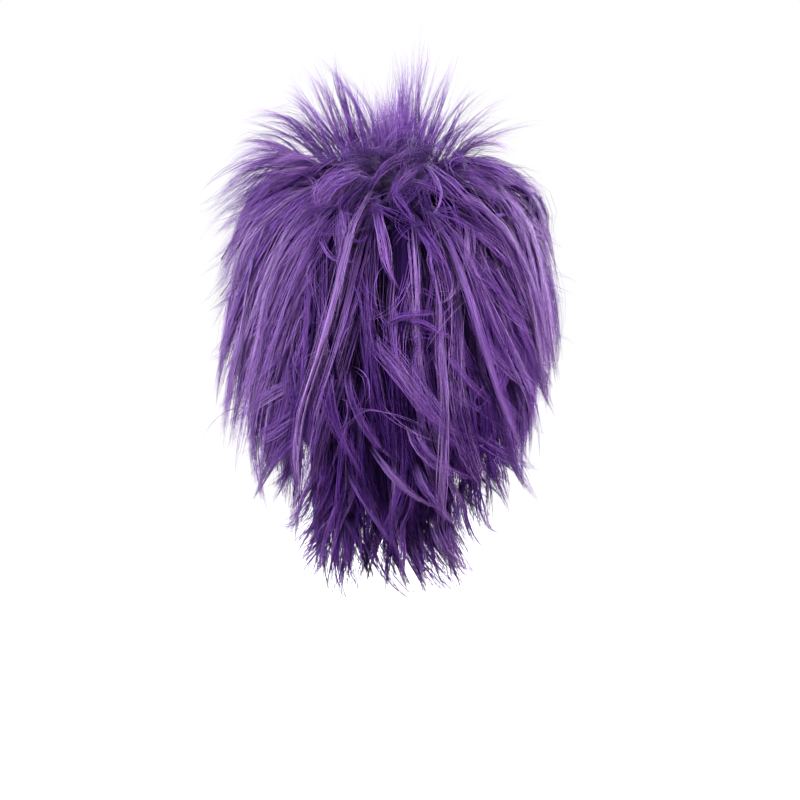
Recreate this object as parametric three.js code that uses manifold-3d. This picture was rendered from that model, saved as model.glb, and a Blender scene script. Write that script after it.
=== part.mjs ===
// A short spiky wig: an open-wefted cap that a head goes into, its bound edge, ten bands of
// hair sewn round it one above the other, and a crown of spikes. Each band is a thin weft with
// pointed locks fused to it, which rise off the cap, lie over the band below and flick out at
// their tips. Millimetres, +Z up, the face towards -Y, the origin where the top of the head
// touches the inside of the cap.
import * as THREE from "three";
import { mergeVertices } from "three/addons/utils/BufferGeometryUtils.js";
import Module from "manifold-3d";

const wasm = await Module();
wasm.setup();

// The head that the cap is made for
const HEAD_HALF_WIDTH = 76;
const HEAD_HALF_LENGTH = 96;
const HEAD_HALF_HEIGHT = 100;
const NECK_HALF_WIDTH = 58;
const NECK_REACH = 62;
const NAPE_POLAR = 130;

// The cap and what is sewn to it
const CAP_WALL = 2;
const SEAT_GAP = 0.45;
const WEFT_THICKNESS = 1.4;
const WEFT_HALF_WIDTH = 4;
const BAND_WIDTH = 5;
const BAND_THICKNESS = 3.2;
// The bound edge's straight steps cut the corners of the cap's edge, so it lies a little lower.
const BAND_CLEARANCE = 0.95;

// How far the hair stands off the head, and how far it falls below the top of the head
const SIDE_DEPTH = 29;
const BACK_DEPTH = 33;
const FRONT_DEPTH = 24;
const TOP_DEPTH = 34;
const HAIR_DROP = 256;

// The locks and spikes. The shares are of a lock's length, but ROOT_WIDTH_SHARE is of its
// width, and LAYER_SHARE of the space between the levels of two bands.
const LOCK_THICKNESS = 5;
const SPIKE_LENGTH = 88;
const SPIKE_WIDTH = 27;
const SPIKE_THICKNESS = 5;
const ROOT_THICKNESS = WEFT_THICKNESS * 0.8;
const LAYER_GAP = 1.6;
const LAYER_SHARE = 0.97;
const ROOT_WIDTH_SHARE = 0.72;
const WIDEST_SHARE = 0.35;
const THICK_FROM_SHARE = 0.3;
const THIN_END_SHARE = 0.45;
const FLICK_FROM_SHARE = 0.7;
const TIP_POWER = 0.8;
const LOCK_STEPS = 5;
const SPIKE_STEPS = 4;
// Above 1, the steps of a lock crowd towards its root, where it bends most.
const ROOT_CROWDING = 1.4;

// How much locks differ: degrees of turn and lean, and shares of their own fall, flick, length
const DRIFT_VARIES = 2;
const SPIKE_TURN_VARIES = 6;
const SPIKE_LEAN_VARIES = 4;
const FALL_VARIES_SHARE = 0.05;
const FLICK_VARIES_SHARE = 0.5;
const SPIKE_LENGTH_VARIES_SHARE = 0.1;
// The locks of the wearer's left flick out this much more.
const LEFT_FLICK_SHARE = 0.5;

// Meshing steps, and the small step in millimetres or degrees that finds a direction
const CAP_COLUMNS = 32;
const PROBE = 1;
const MERGE_DISTANCE = 1e-4;

// The edge of the cap: polar is the angle down from the crown at each azimuth, and azimuth
// is 0 at the nape, 90 over the ear and 180 at the forehead.
const EDGE = [
  { azimuth: 0, polar: 130 },
  { azimuth: 30, polar: 129 },
  { azimuth: 48, polar: 124 },
  { azimuth: 64, polar: 110 },
  { azimuth: 80, polar: 92 },
  { azimuth: 98, polar: 88 },
  { azimuth: 110, polar: 98 },
  { azimuth: 120, polar: 101 },
  { azimuth: 132, polar: 84 },
  { azimuth: 150, polar: 65 },
  { azimuth: 180, polar: 61 },
];

// The rows of the cap's mesh: from 0 to 1 as shares of the crown's round, and from 1 to 2 as
// shares of the way from there to the edge. The rows in SLOT_ROWS are left open in slots at
// the back, out to SLOT_COLUMNS columns from the nape.
const CROWN_POLAR = 26;
const CROWN_ROWS = [0, 0.5, 1];
const CAP_ROWS = [...CROWN_ROWS, 1.12, 1.28, 1.45, 1.53, 1.63, 1.71, 1.81, 1.88, 2];
const SLOT_ROWS = [5, 7, 9];
const SLOT_COLUMNS = 5;

// The outside of the hair. run goes from 0 at the crown to 1 at the nape and 2 at the longest
// tips. reach is a share of the widest reach, and drop a share of the way down.
const OUTSIDE = [
  { run: 0.0, reach: 0.0, drop: 0.0 },
  { run: 0.1, reach: 0.28, drop: 0.004 },
  { run: 0.2, reach: 0.56, drop: 0.024 },
  { run: 0.3, reach: 0.79, drop: 0.08 },
  { run: 0.4, reach: 0.91, drop: 0.16 },
  { run: 0.55, reach: 0.98, drop: 0.31 },
  { run: 0.7, reach: 1.0, drop: 0.455 },
  { run: 0.85, reach: 0.98, drop: 0.585 },
  { run: 1.0, reach: 0.92, drop: 0.697 },
  { run: 1.25, reach: 0.83, drop: 0.79 },
  { run: 1.5, reach: 0.74, drop: 0.868 },
  { run: 2.0, reach: 0.6, drop: 1.0 },
];

// Where the longest tips end at each azimuth, as run.
const TIPS = [
  { azimuth: 0, run: 1.93 },
  { azimuth: 20, run: 1.82 },
  { azimuth: 38, run: 1.5 },
  { azimuth: 56, run: 1.2 },
  { azimuth: 74, run: 0.99 },
  { azimuth: 90, run: 0.91 },
  { azimuth: 118, run: 0.88 },
  { azimuth: 140, run: 0.76 },
  { azimuth: 180, run: 0.68 },
];

// The bands of hair, from the nape up. polar places the weft, from and to are its azimuths,
// cover is how much of its room between its neighbours a lock takes, level is how far out the
// locks lie between cap and outside, rise how soon they get there, fall how far down they go
// towards the longest tips, sway how many degrees they drift outwards, lean how many degrees
// they all turn one way, and flick how far the ends stand out beyond their level. Positive
// azimuths are the wearer's left.
const BANDS = [
  { name: "nape_weft", polar: 121, from: -44, to: 44, locks: 10, cover: 1.1,
    level: 0.16, rise: 0.28, fall: 1.0, sway: 5, lean: 0, flick: 0.3 },
  { name: "lower_back_weft", polar: 103, from: -60, to: 60, locks: 12, cover: 1.05,
    level: 0.32, rise: 0.22, fall: 0.93, sway: 7, lean: 1, flick: 0.3 },
  { name: "mid_back_weft", polar: 85, from: -80, to: 80, locks: 14, cover: 1.05,
    level: 0.48, rise: 0.19, fall: 0.86, sway: 7, lean: 1, flick: 0.28 },
  { name: "upper_back_weft", polar: 67, from: -104, to: 104, locks: 16, cover: 1.05,
    level: 0.64, rise: 0.16, fall: 0.78, sway: 7, lean: 2, flick: 0.26 },
  { name: "crown_weft", polar: 49, from: -116, to: 116, locks: 15, cover: 1.05,
    level: 0.81, rise: 0.13, fall: 0.68, sway: 6, lean: 2, flick: 0.22 },
  { name: "top_weft", polar: 33, from: -122, to: 122, locks: 14, cover: 1.0,
    level: 0.99, rise: 0.09, fall: 0.56, sway: 4, lean: 3, flick: 0.2 },
  { name: "left_temple_weft", polar: 84, from: 103, to: 125, locks: 3, cover: 1.0,
    level: 0.3, rise: 0.25, fall: 1.0, sway: 3, lean: 0, flick: 0.2 },
  { name: "right_temple_weft", polar: 84, from: -125, to: -103, locks: 3, cover: 1.0,
    level: 0.3, rise: 0.25, fall: 1.0, sway: 3, lean: 0, flick: 0.2 },
  { name: "fringe_under_weft", polar: 52, from: 130, to: 230, locks: 9, cover: 1.05,
    level: 0.3, rise: 0.25, fall: 1.0, sway: 0, lean: 4, flick: 0.1 },
  { name: "fringe_over_weft", polar: 38, from: 128, to: 232, locks: 9, cover: 1.05,
    level: 0.66, rise: 0.16, fall: 0.85, sway: 0, lean: 5, flick: 0.2 },
];

// The spikes of the crown, ring by ring: polar places the roots, turn is the azimuth of the
// first, length and width are shares of SPIKE_LENGTH and SPIKE_WIDTH, lean is how far a spike
// leans out, as a share of the way from upright down to the shoulder of the hair at the run
// SHOULDER_SHARE, and droop how many degrees more its end bends over. A spike goes straight up
// for SPIKE_RISE_SHARE of its length and bends over at SPIKE_BEND_SHARE.
const SPIKE_NODE = "crown_spikes";
const SPIKE_RINGS = [
  { polar: 4, count: 4, turn: 40, length: 1.0, width: 0.59, lean: 0.2, droop: 4 },
  { polar: 12, count: 7, turn: 10, length: 0.93, width: 0.78, lean: 0.56, droop: 10 },
  { polar: 19, count: 10, turn: 0, length: 0.91, width: 0.96, lean: 0.93, droop: 12 },
  { polar: 24, count: 11, turn: 14, length: 0.77, width: 1.0, lean: 1.14, droop: 10 },
];
const SHOULDER_SHARE = 0.25;
const SPIKE_RISE_SHARE = 0.25;
const SPIKE_BEND_SHARE = 0.65;
const SPIKE_LEFT_ANGLE = 6;

const rad = THREE.MathUtils.degToRad;
const clamp = THREE.MathUtils.clamp;
const lerp = THREE.MathUtils.lerp;

// A value of a table's column at a place between its rows, on one smooth curve.
function at(table, key, column, place) {
  let i = 0;
  while (i < table.length - 2 && table[i + 1][key] < place) i += 1;
  const slope = (j) => {
    const a = table[Math.max(j - 1, 0)];
    const b = table[Math.min(j + 1, table.length - 1)];
    return (b[column] - a[column]) / (b[key] - a[key]);
  };
  const [a, b] = [table[i], table[i + 1]];
  const span = b[key] - a[key];
  const t = clamp((place - a[key]) / span, 0, 1);
  const s = t * t * (3 - 2 * t);
  const pull = t * (1 - t) * ((1 - t) * slope(i) - t * slope(i + 1)) * span;
  return a[column] + (b[column] - a[column]) * s + pull;
}

// The azimuth folded to 0 at the nape and 180 at the forehead, for tables that are the same
// on both sides.
function folded(azimuth) {
  const turned = ((azimuth % 360) + 360) % 360;
  return turned > 180 ? 360 - turned : turned;
}

// A point on the head, pushed out along the head's own normal by offset.
function headPoint(azimuth, polar, offset) {
  const [a, p] = [rad(azimuth), rad(polar)];
  const unit = new THREE.Vector3(Math.sin(p) * Math.sin(a), Math.sin(p) * Math.cos(a), Math.cos(p));
  const half = new THREE.Vector3(HEAD_HALF_WIDTH, HEAD_HALF_LENGTH, HEAD_HALF_HEIGHT);
  const normal = unit.clone().divide(half).normalize();
  const centre = new THREE.Vector3(0, 0, -HEAD_HALF_HEIGHT);
  return unit.multiply(half).add(centre).addScaledVector(normal, offset);
}

// Under the hair: just above the inside of the wefts on the cap, and below the nape the neck.
const ROOT_OFFSET = CAP_WALL + SEAT_GAP + ROOT_THICKNESS / 2;
function insidePoint(azimuth, run) {
  const point = headPoint(azimuth, NAPE_POLAR * Math.min(run, 1), ROOT_OFFSET);
  if (run <= 1) return point;
  const neck = new THREE.Vector3(
    NECK_HALF_WIDTH * Math.sin(rad(azimuth)),
    NECK_REACH * Math.cos(rad(azimuth)),
    -HAIR_DROP,
  );
  return point.lerp(neck, run - 1);
}

function outsidePoint(azimuth, run) {
  const [s, c] = [Math.sin(rad(azimuth)), Math.cos(rad(azimuth))];
  const reach = at(OUTSIDE, "run", "reach", run);
  const length = HEAD_HALF_LENGTH + (c > 0 ? BACK_DEPTH : FRONT_DEPTH);
  return new THREE.Vector3(
    s * reach * (HEAD_HALF_WIDTH + SIDE_DEPTH),
    c * reach * length,
    TOP_DEPTH - (TOP_DEPTH + HAIR_DROP) * at(OUTSIDE, "run", "drop", run),
  );
}

function hairPoint(azimuth, run, level) {
  return insidePoint(azimuth, run).lerp(outsidePoint(azimuth, run), level);
}

// A steady number from -1 to 1 for each pair of whole numbers, so that locks differ.
function vary(i, j) {
  const s = Math.sin(i * 12.9898 + j * 78.233) * 43758.5453;
  return 2 * (s - Math.floor(s)) - 1;
}

// A solid from a list of triangles, each three points, with their shared corners merged.
function solidOf(triangles) {
  const positions = new Float32Array(triangles.flat().flatMap((p) => [p.x, p.y, p.z]));
  const geometry = new THREE.BufferGeometry();
  geometry.setAttribute("position", new THREE.BufferAttribute(positions, 3));
  const merged = mergeVertices(geometry, MERGE_DISTANCE);
  return new wasm.Manifold(
    new wasm.Mesh({
      numProp: 3,
      vertProperties: merged.attributes.position.array,
      triVerts: new Uint32Array(merged.index.array),
    }),
  );
}

// The two triangles of a four-cornered face, given anticlockwise from outside.
function face(a, b, c, d) {
  return [[a, b, c], [a, c, d]];
}

// A closed body through rings of points, each ring anticlockwise seen from the end.
function loft(rings, closed) {
  const triangles = [];
  const last = closed ? rings.length : rings.length - 1;
  for (let k = 0; k < last; k += 1) {
    const [low, high] = [rings[k], rings[(k + 1) % rings.length]];
    low.forEach((p, i) => {
      const j = (i + 1) % low.length;
      triangles.push(...face(p, low[j], high[j], high[i]));
    });
  }
  if (!closed) {
    const [first, end] = [rings[0], rings[rings.length - 1]];
    for (let i = 1; i < first.length - 1; i += 1) {
      triangles.push([first[0], first[i + 1], first[i]]);
      triangles.push([end[0], end[i], end[i + 1]]);
    }
  }
  return triangles;
}

// A strip round the head, between two azimuths, polar angles and offsets.
function strip(azimuths, polars, offsets) {
  const turns = [azimuths[0]];
  for (let i = -CAP_COLUMNS; i <= CAP_COLUMNS; i += 1) {
    const azimuth = columnAzimuth(i);
    if (azimuth > azimuths[0] && azimuth < azimuths[1]) turns.push(azimuth);
  }
  turns.push(azimuths[1]);
  const rings = turns.map((azimuth) => [
    headPoint(azimuth, polars[0], offsets[0]),
    headPoint(azimuth, polars[1], offsets[0]),
    headPoint(azimuth, polars[1], offsets[1]),
    headPoint(azimuth, polars[0], offsets[1]),
  ]);
  return solidOf(loft(rings, false));
}

// Every mesh on the head turns its corners at the same azimuths, so that flat faces that lie
// one above the other stay parallel. Column 0 is centred on the nape.
function columnAzimuth(i) {
  return (360 * (i - 0.5)) / CAP_COLUMNS;
}

// A cap-shaped wall round the crown, of cells between columns and rows, with a wall round
// every cell that is left open.
function dome(offsets, rows, isOpen) {
  const [inn, out] = offsets;
  const point = (i, j, offset) => {
    const azimuth = columnAzimuth(i % CAP_COLUMNS);
    const down = CROWN_POLAR * Math.min(rows[j], 1);
    const polar = down + (edgePolar(azimuth) - down) * Math.max(rows[j] - 1, 0);
    return headPoint(azimuth, polar, offset);
  };
  const solid = (i, j) => j < rows.length - 1 && !isOpen((i + CAP_COLUMNS) % CAP_COLUMNS, j);
  const triangles = [];
  for (let i = 0; i < CAP_COLUMNS; i += 1) {
    for (let j = 0; j < rows.length - 1; j += 1) {
      if (solid(i, j)) {
        const corners = [[i, j], [i + 1, j], [i + 1, j + 1], [i, j + 1]];
        const outer = face(...corners.map(([u, v]) => point(u, v, out)));
        const inner = face(...corners.reverse().map(([u, v]) => point(u, v, inn)));
        // The first row meets at the pole, where each face has only three corners.
        triangles.push(...(j === 0 ? [outer[1], inner[0]] : [...outer, ...inner]));
        const sides = [
          [[i, j], [i + 1, j], j === 0 || solid(i, j - 1)],
          [[i + 1, j], [i + 1, j + 1], solid(i + 1, j)],
          [[i + 1, j + 1], [i, j + 1], solid(i, j + 1)],
          [[i, j + 1], [i, j], solid(i - 1, j)],
        ];
        for (const [[u, v], [x, y], shut] of sides) {
          if (!shut) {
            const near = [point(u, v, inn), point(x, y, inn)];
            triangles.push(...face(...near, point(x, y, out), point(u, v, out)));
          }
        }
      }
    }
  }
  return solidOf(triangles);
}

// Degrees of polar angle that a length covers on the head.
function degreesDown(length) {
  return THREE.MathUtils.radToDeg(length / HEAD_HALF_HEIGHT);
}

function edgePolar(azimuth) {
  return at(EDGE, "azimuth", "polar", folded(azimuth));
}

// Slots lie between the back wefts: two columns open, then one that holds the tracks.
function isSlot(column, row) {
  const fromNape = Math.min(column, CAP_COLUMNS - column);
  return SLOT_ROWS.includes(row) && fromNape <= SLOT_COLUMNS && fromNape % 3 !== 0;
}

function cap() {
  return dome([0, CAP_WALL], CAP_ROWS, isSlot);
}

// The bound edge: a soft welt all round, just below the cap's own edge.
function edgeBand() {
  const rings = [];
  const middle = CAP_WALL / 2;
  for (let i = 0; i < CAP_COLUMNS; i += 1) {
    const azimuth = columnAzimuth(i);
    const edge = headPoint(azimuth, edgePolar(azimuth), middle);
    const above = headPoint(azimuth, edgePolar(azimuth) - PROBE, middle);
    const outer = headPoint(azimuth, edgePolar(azimuth), middle + PROBE);
    const out = outer.sub(edge).normalize();
    const ahead = headPoint(azimuth + PROBE, edgePolar(azimuth + PROBE), middle);
    const behind = headPoint(azimuth - PROBE, edgePolar(azimuth - PROBE), middle);
    const along = ahead.sub(behind).normalize();
    const down = new THREE.Vector3().crossVectors(along, out).normalize();
    if (down.dot(above.sub(edge)) > 0) down.negate();
    const place = (deep, wide) =>
      edge.clone().addScaledVector(down, deep).addScaledVector(out, wide);
    const [near, far] = [BAND_CLEARANCE, BAND_CLEARANCE + BAND_WIDTH];
    rings.push([
      place(near, BAND_THICKNESS / 2),
      place(near, -BAND_THICKNESS / 2),
      place(far, -BAND_THICKNESS / 3),
      place(far, BAND_THICKNESS / 3),
    ]);
  }
  return solidOf(loft(rings, true));
}

// A pointed lock along a path: path(t) is its middle, across(t) the way that its width lies,
// and sizes(t) its width and thickness. Its section has a flat underside and a ridged back.
function lock(path, across, sizes, steps) {
  const rings = [];
  const step = 1e-3;
  for (let k = 0; k < steps; k += 1) {
    const t = Math.pow(k / steps, ROOT_CROWDING);
    const middle = path(t);
    const along = path(t + step).sub(path(t - step)).normalize();
    const up = new THREE.Vector3().crossVectors(along, across(t)).normalize();
    const side = new THREE.Vector3().crossVectors(up, along);
    const { width, thickness } = sizes(t);
    const place = (wide, high) =>
      middle.clone().addScaledVector(side, wide).addScaledVector(up, high);
    rings.push([
      place(width / 2, -thickness / 3),
      place(0, (2 * thickness) / 3),
      place(-width / 2, -thickness / 3),
    ]);
  }
  const tip = path(1);
  rings.push(rings[0].map(() => tip));
  const triangles = loft(rings, false);
  const flat = ([a, b, c]) => a.equals(b) || b.equals(c) || c.equals(a);
  return solidOf(triangles.filter((t) => !flat(t)));
}

// How wide a lock is along its length, as a share of its width: full at a third, then pointed.
function taper(t) {
  if (t < WIDEST_SHARE) return lerp(ROOT_WIDTH_SHARE, 1, t / WIDEST_SHARE);
  return Math.pow((1 - t) / (1 - WIDEST_SHARE), TIP_POWER);
}

// How thick it is along its length: thin at the weft, then full, and thin again to the tip.
function thicknessAt(t, full) {
  const grown = lerp(ROOT_THICKNESS, full, Math.min(t / THICK_FROM_SHARE, 1));
  return grown * Math.min(1, (1 - t) / THIN_END_SHARE);
}

// The space that the bands above and below leave a lock, at its own level.
function room(azimuth, run, level) {
  const pitch = (BANDS[1].level - BANDS[0].level) * LAYER_SHARE;
  const near = hairPoint(azimuth, run, level);
  return near.distanceTo(hairPoint(azimuth, run, level + pitch)) - LAYER_GAP;
}

function bandLock(band, index) {
  const share = (index + 0.5) / band.locks;
  const middle = (band.from + band.to) / 2;
  const root = band.from + (band.to - band.from) * share;
  const away = (root - middle) / ((band.to - band.from) / 2);
  const bandSeed = BANDS.indexOf(band);
  const drift = band.sway * away + band.lean + DRIFT_VARIES * vary(index, bandSeed);
  const start = band.polar / NAPE_POLAR;
  const fall = band.fall * (1 + FALL_VARIES_SHARE * vary(index + 50, bandSeed));
  const end = start + (at(TIPS, "azimuth", "run", folded(root + drift)) - start) * fall;
  const leftward = Math.max(Math.sin(rad(root)), 0);
  const flickVaries = FLICK_VARIES_SHARE * vary(index + 90, bandSeed);
  const flick = band.flick * (1 + LEFT_FLICK_SHARE * leftward + flickVaries);
  const state = (t) => {
    const risen = band.level * (1 - Math.exp(-Math.max(t, 0) / band.rise));
    const flicked = Math.max((t - FLICK_FROM_SHARE) / (1 - FLICK_FROM_SHARE), 0);
    return {
      azimuth: root + drift * t * t,
      run: start + (end - start) * t,
      level: risen + flick * flicked * flicked,
    };
  };
  const path = (t) => {
    const s = state(t);
    return hairPoint(s.azimuth, s.run, s.level);
  };
  const half = (band.to - band.from) / band.locks / 2;
  const across = (t) => {
    const s = state(t);
    const side = hairPoint(s.azimuth + half, s.run, s.level);
    return hairPoint(s.azimuth - half, s.run, s.level).sub(side);
  };
  const width = band.cover * across(WIDEST_SHARE).length();
  const sizes = (t) => {
    const s = state(t);
    const full = Math.min(LOCK_THICKNESS, room(s.azimuth, s.run, Math.min(s.level, band.level)));
    return { width: width * taper(t), thickness: thicknessAt(t, full) };
  };
  return lock(path, across, sizes, LOCK_STEPS);
}

function weft(band) {
  const tall = degreesDown(WEFT_HALF_WIDTH);
  const offsets = [CAP_WALL + SEAT_GAP, CAP_WALL + SEAT_GAP + WEFT_THICKNESS];
  let solid = strip([band.from, band.to], [band.polar - tall, band.polar + tall], offsets);
  for (let i = 0; i < band.locks; i += 1) solid = solid.add(bandLock(band, i));
  return solid;
}

function spike(ring, index) {
  const turned = SPIKE_TURN_VARIES * vary(index, ring.polar);
  const azimuth = ring.turn + (360 * index) / ring.count + turned;
  const a = rad(azimuth);
  const root = headPoint(azimuth, ring.polar, ROOT_OFFSET);
  const above = headPoint(azimuth, ring.polar, ROOT_OFFSET + PROBE).sub(root).normalize();
  const shoulder = outsidePoint(azimuth, SHOULDER_SHARE).sub(root);
  const shoulderAngle = Math.atan2(Math.hypot(shoulder.x, shoulder.y), shoulder.z);
  const leftward = SPIKE_LEFT_ANGLE * Math.sin(a);
  const leanVaries = SPIKE_LEAN_VARIES * vary(index + 20, ring.polar);
  const out = shoulderAngle * ring.lean + rad(leftward + leanVaries);
  const over = out + rad(ring.droop);
  const lengthVaries = SPIKE_LENGTH_VARIES_SHARE * vary(index + 40, ring.polar);
  const length = SPIKE_LENGTH * ring.length * (1 + lengthVaries);
  const away = (angle) =>
    new THREE.Vector3(Math.sin(a) * Math.sin(angle), Math.cos(a) * Math.sin(angle), Math.cos(angle));
  const risen = root.clone().addScaledVector(above, length * SPIKE_RISE_SHARE);
  const bend = root.clone().addScaledVector(away(out), length * SPIKE_BEND_SHARE);
  const tip = bend.clone().addScaledVector(away(over), length * (1 - SPIKE_BEND_SHARE));
  const curve = new THREE.CubicBezierCurve3(root, risen, bend, tip);
  const path = (t) => curve.getPoint(clamp(t, 0, 1));
  const across = () => new THREE.Vector3(-Math.cos(a), Math.sin(a), 0);
  const sizes = (t) => ({
    width: SPIKE_WIDTH * ring.width * taper(t),
    thickness: thicknessAt(t, SPIKE_THICKNESS),
  });
  return lock(path, across, sizes, SPIKE_STEPS);
}

function crownSpikes() {
  const offsets = [CAP_WALL + SEAT_GAP, CAP_WALL + SEAT_GAP + WEFT_THICKNESS];
  let solid = dome(offsets, CROWN_ROWS, () => false);
  for (const ring of SPIKE_RINGS) {
    for (let i = 0; i < ring.count; i += 1) solid = solid.add(spike(ring, i));
  }
  return solid;
}

const netMaterial = new THREE.MeshStandardMaterial({ color: 0x2a1c33, roughness: 0.9 });
const bindingMaterial = new THREE.MeshStandardMaterial({ color: 0x1f1626, roughness: 0.85 });
const hairMaterial = new THREE.MeshStandardMaterial({ color: 0x6a4596, roughness: 0.45 });

function meshOf(solid, name, material) {
  const made = solid.getMesh();
  const geometry = new THREE.BufferGeometry();
  geometry.setAttribute("position", new THREE.BufferAttribute(made.vertProperties, 3));
  geometry.setIndex(new THREE.BufferAttribute(made.triVerts, 1));
  geometry.computeVertexNormals();
  const mesh = new THREE.Mesh(geometry, material);
  mesh.name = name;
  return mesh;
}

const wig = new THREE.Group();
wig.name = "short_wig";
wig.add(meshOf(cap(), "cap", netMaterial));
wig.add(meshOf(edgeBand(), "edge_band", bindingMaterial));
for (const band of BANDS) wig.add(meshOf(weft(band), band.name, hairMaterial));
wig.add(meshOf(crownSpikes(), SPIKE_NODE, hairMaterial));

export default wig;
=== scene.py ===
"""A short spiky violet wig, dressed for its studio picture and seen from behind.

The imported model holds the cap, its bound edge and eleven bands of pointed locks. Here every
band becomes hair: strands are laid in clumps through the same space round the head, from
their weft on the cap out to the tips, and each strand is a thin closed tube. Over them come
spikes and a tangle on the crown, loose locks, flicked tips and stray hairs. The cap and its
edge are rebuilt smooth, as net and as woven binding. Sizes are millimetres until a mesh is
made. The face looks towards -Y and the wearer's left is +X.
"""

import math

import bpy
import numpy as np
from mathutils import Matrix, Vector


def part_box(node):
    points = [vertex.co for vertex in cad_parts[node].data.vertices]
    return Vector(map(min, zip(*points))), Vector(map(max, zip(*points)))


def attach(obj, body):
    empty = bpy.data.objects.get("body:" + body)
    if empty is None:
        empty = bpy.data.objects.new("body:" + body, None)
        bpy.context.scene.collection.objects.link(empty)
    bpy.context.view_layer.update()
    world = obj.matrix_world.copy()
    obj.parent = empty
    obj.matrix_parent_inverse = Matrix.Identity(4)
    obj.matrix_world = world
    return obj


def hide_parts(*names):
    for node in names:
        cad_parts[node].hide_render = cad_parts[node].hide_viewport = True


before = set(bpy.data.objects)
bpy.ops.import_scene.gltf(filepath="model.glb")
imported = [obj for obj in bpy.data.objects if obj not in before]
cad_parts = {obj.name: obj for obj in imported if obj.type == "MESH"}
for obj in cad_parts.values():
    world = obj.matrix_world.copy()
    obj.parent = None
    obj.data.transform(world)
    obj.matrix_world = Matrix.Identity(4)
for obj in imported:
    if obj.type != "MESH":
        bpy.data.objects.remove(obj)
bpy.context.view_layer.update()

MM = 0.001
chance = np.random.default_rng(11)

# Sizes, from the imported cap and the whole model

CAP_WALL = 2.0
SEAT_GAP = 0.45
WEFT_THICKNESS = 1.4
WEFT_HALF_WIDTH = 4.0
# How far up through its weft hair starts, as a share.
ROOT_IN_WEFT = 0.4
BAND_WIDTH = 5.0
BAND_THICKNESS = 3.2

HEAD_HALF_LENGTH = 96.0
HEAD_HALF_HEIGHT = 100.0
cap_low, cap_high = (np.array(corner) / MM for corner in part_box("cap"))
HEAD_HALF_WIDTH = (cap_high[0] - cap_low[0]) / 2 - CAP_WALL
HEAD_HALF = np.array([HEAD_HALF_WIDTH, HEAD_HALF_LENGTH, HEAD_HALF_HEIGHT])
HEAD_CENTRE = np.array([0.0, 0.0, -HEAD_HALF[2]])
NECK_HALF_WIDTH = 58.0
NECK_REACH = 62.0
NAPE_POLAR = 130.0
# How far the hair stands out from the head at the sides, back, front and top, and how far down
# it goes.
SIDE_DEPTH = 29.0
BACK_DEPTH = 33.0
FRONT_DEPTH = 24.0
TOP_DEPTH = 34.0
HAIR_DROP = 256.0

# The edge of the cap: azimuth (0 at the nape, 180 at the forehead), angle down from the crown.
EDGE = [
    (0, 130), (30, 129), (48, 124), (64, 110), (80, 92), (98, 88),
    (110, 98), (120, 101), (132, 84), (150, 65), (180, 61),
]  # fmt: skip

# The outside of the hair: run (0 crown, 1 nape, 2 longest tips), share of the widest reach,
# share of the way down.
OUTSIDE = [
    (0.0, 0.0, 0.0), (0.1, 0.28, 0.004), (0.2, 0.56, 0.024), (0.3, 0.79, 0.08),
    (0.4, 0.91, 0.16), (0.55, 0.98, 0.31), (0.7, 1.0, 0.455), (0.85, 0.98, 0.585),
    (1.0, 0.92, 0.697), (1.25, 0.83, 0.79), (1.5, 0.74, 0.868), (2.0, 0.6, 1.0),
]  # fmt: skip

# Where the longest tips end: azimuth, run.
TIPS = [
    (0, 2.02), (26, 2.01), (46, 2.0), (58, 1.94), (66, 1.78), (74, 1.42), (84, 1.1),
    (96, 0.98), (118, 0.88), (140, 0.76), (180, 0.68),
]  # fmt: skip



def both_sides(**band):
    """A band at the wearer's left, and its mirror image at the right."""
    (first, last), (least, most) = band["span"], band["turn"]
    node = band["node"].replace("left", "right")
    return [band, dict(band, node=node, span=(-last, -first), turn=(-most, -least))]


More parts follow.
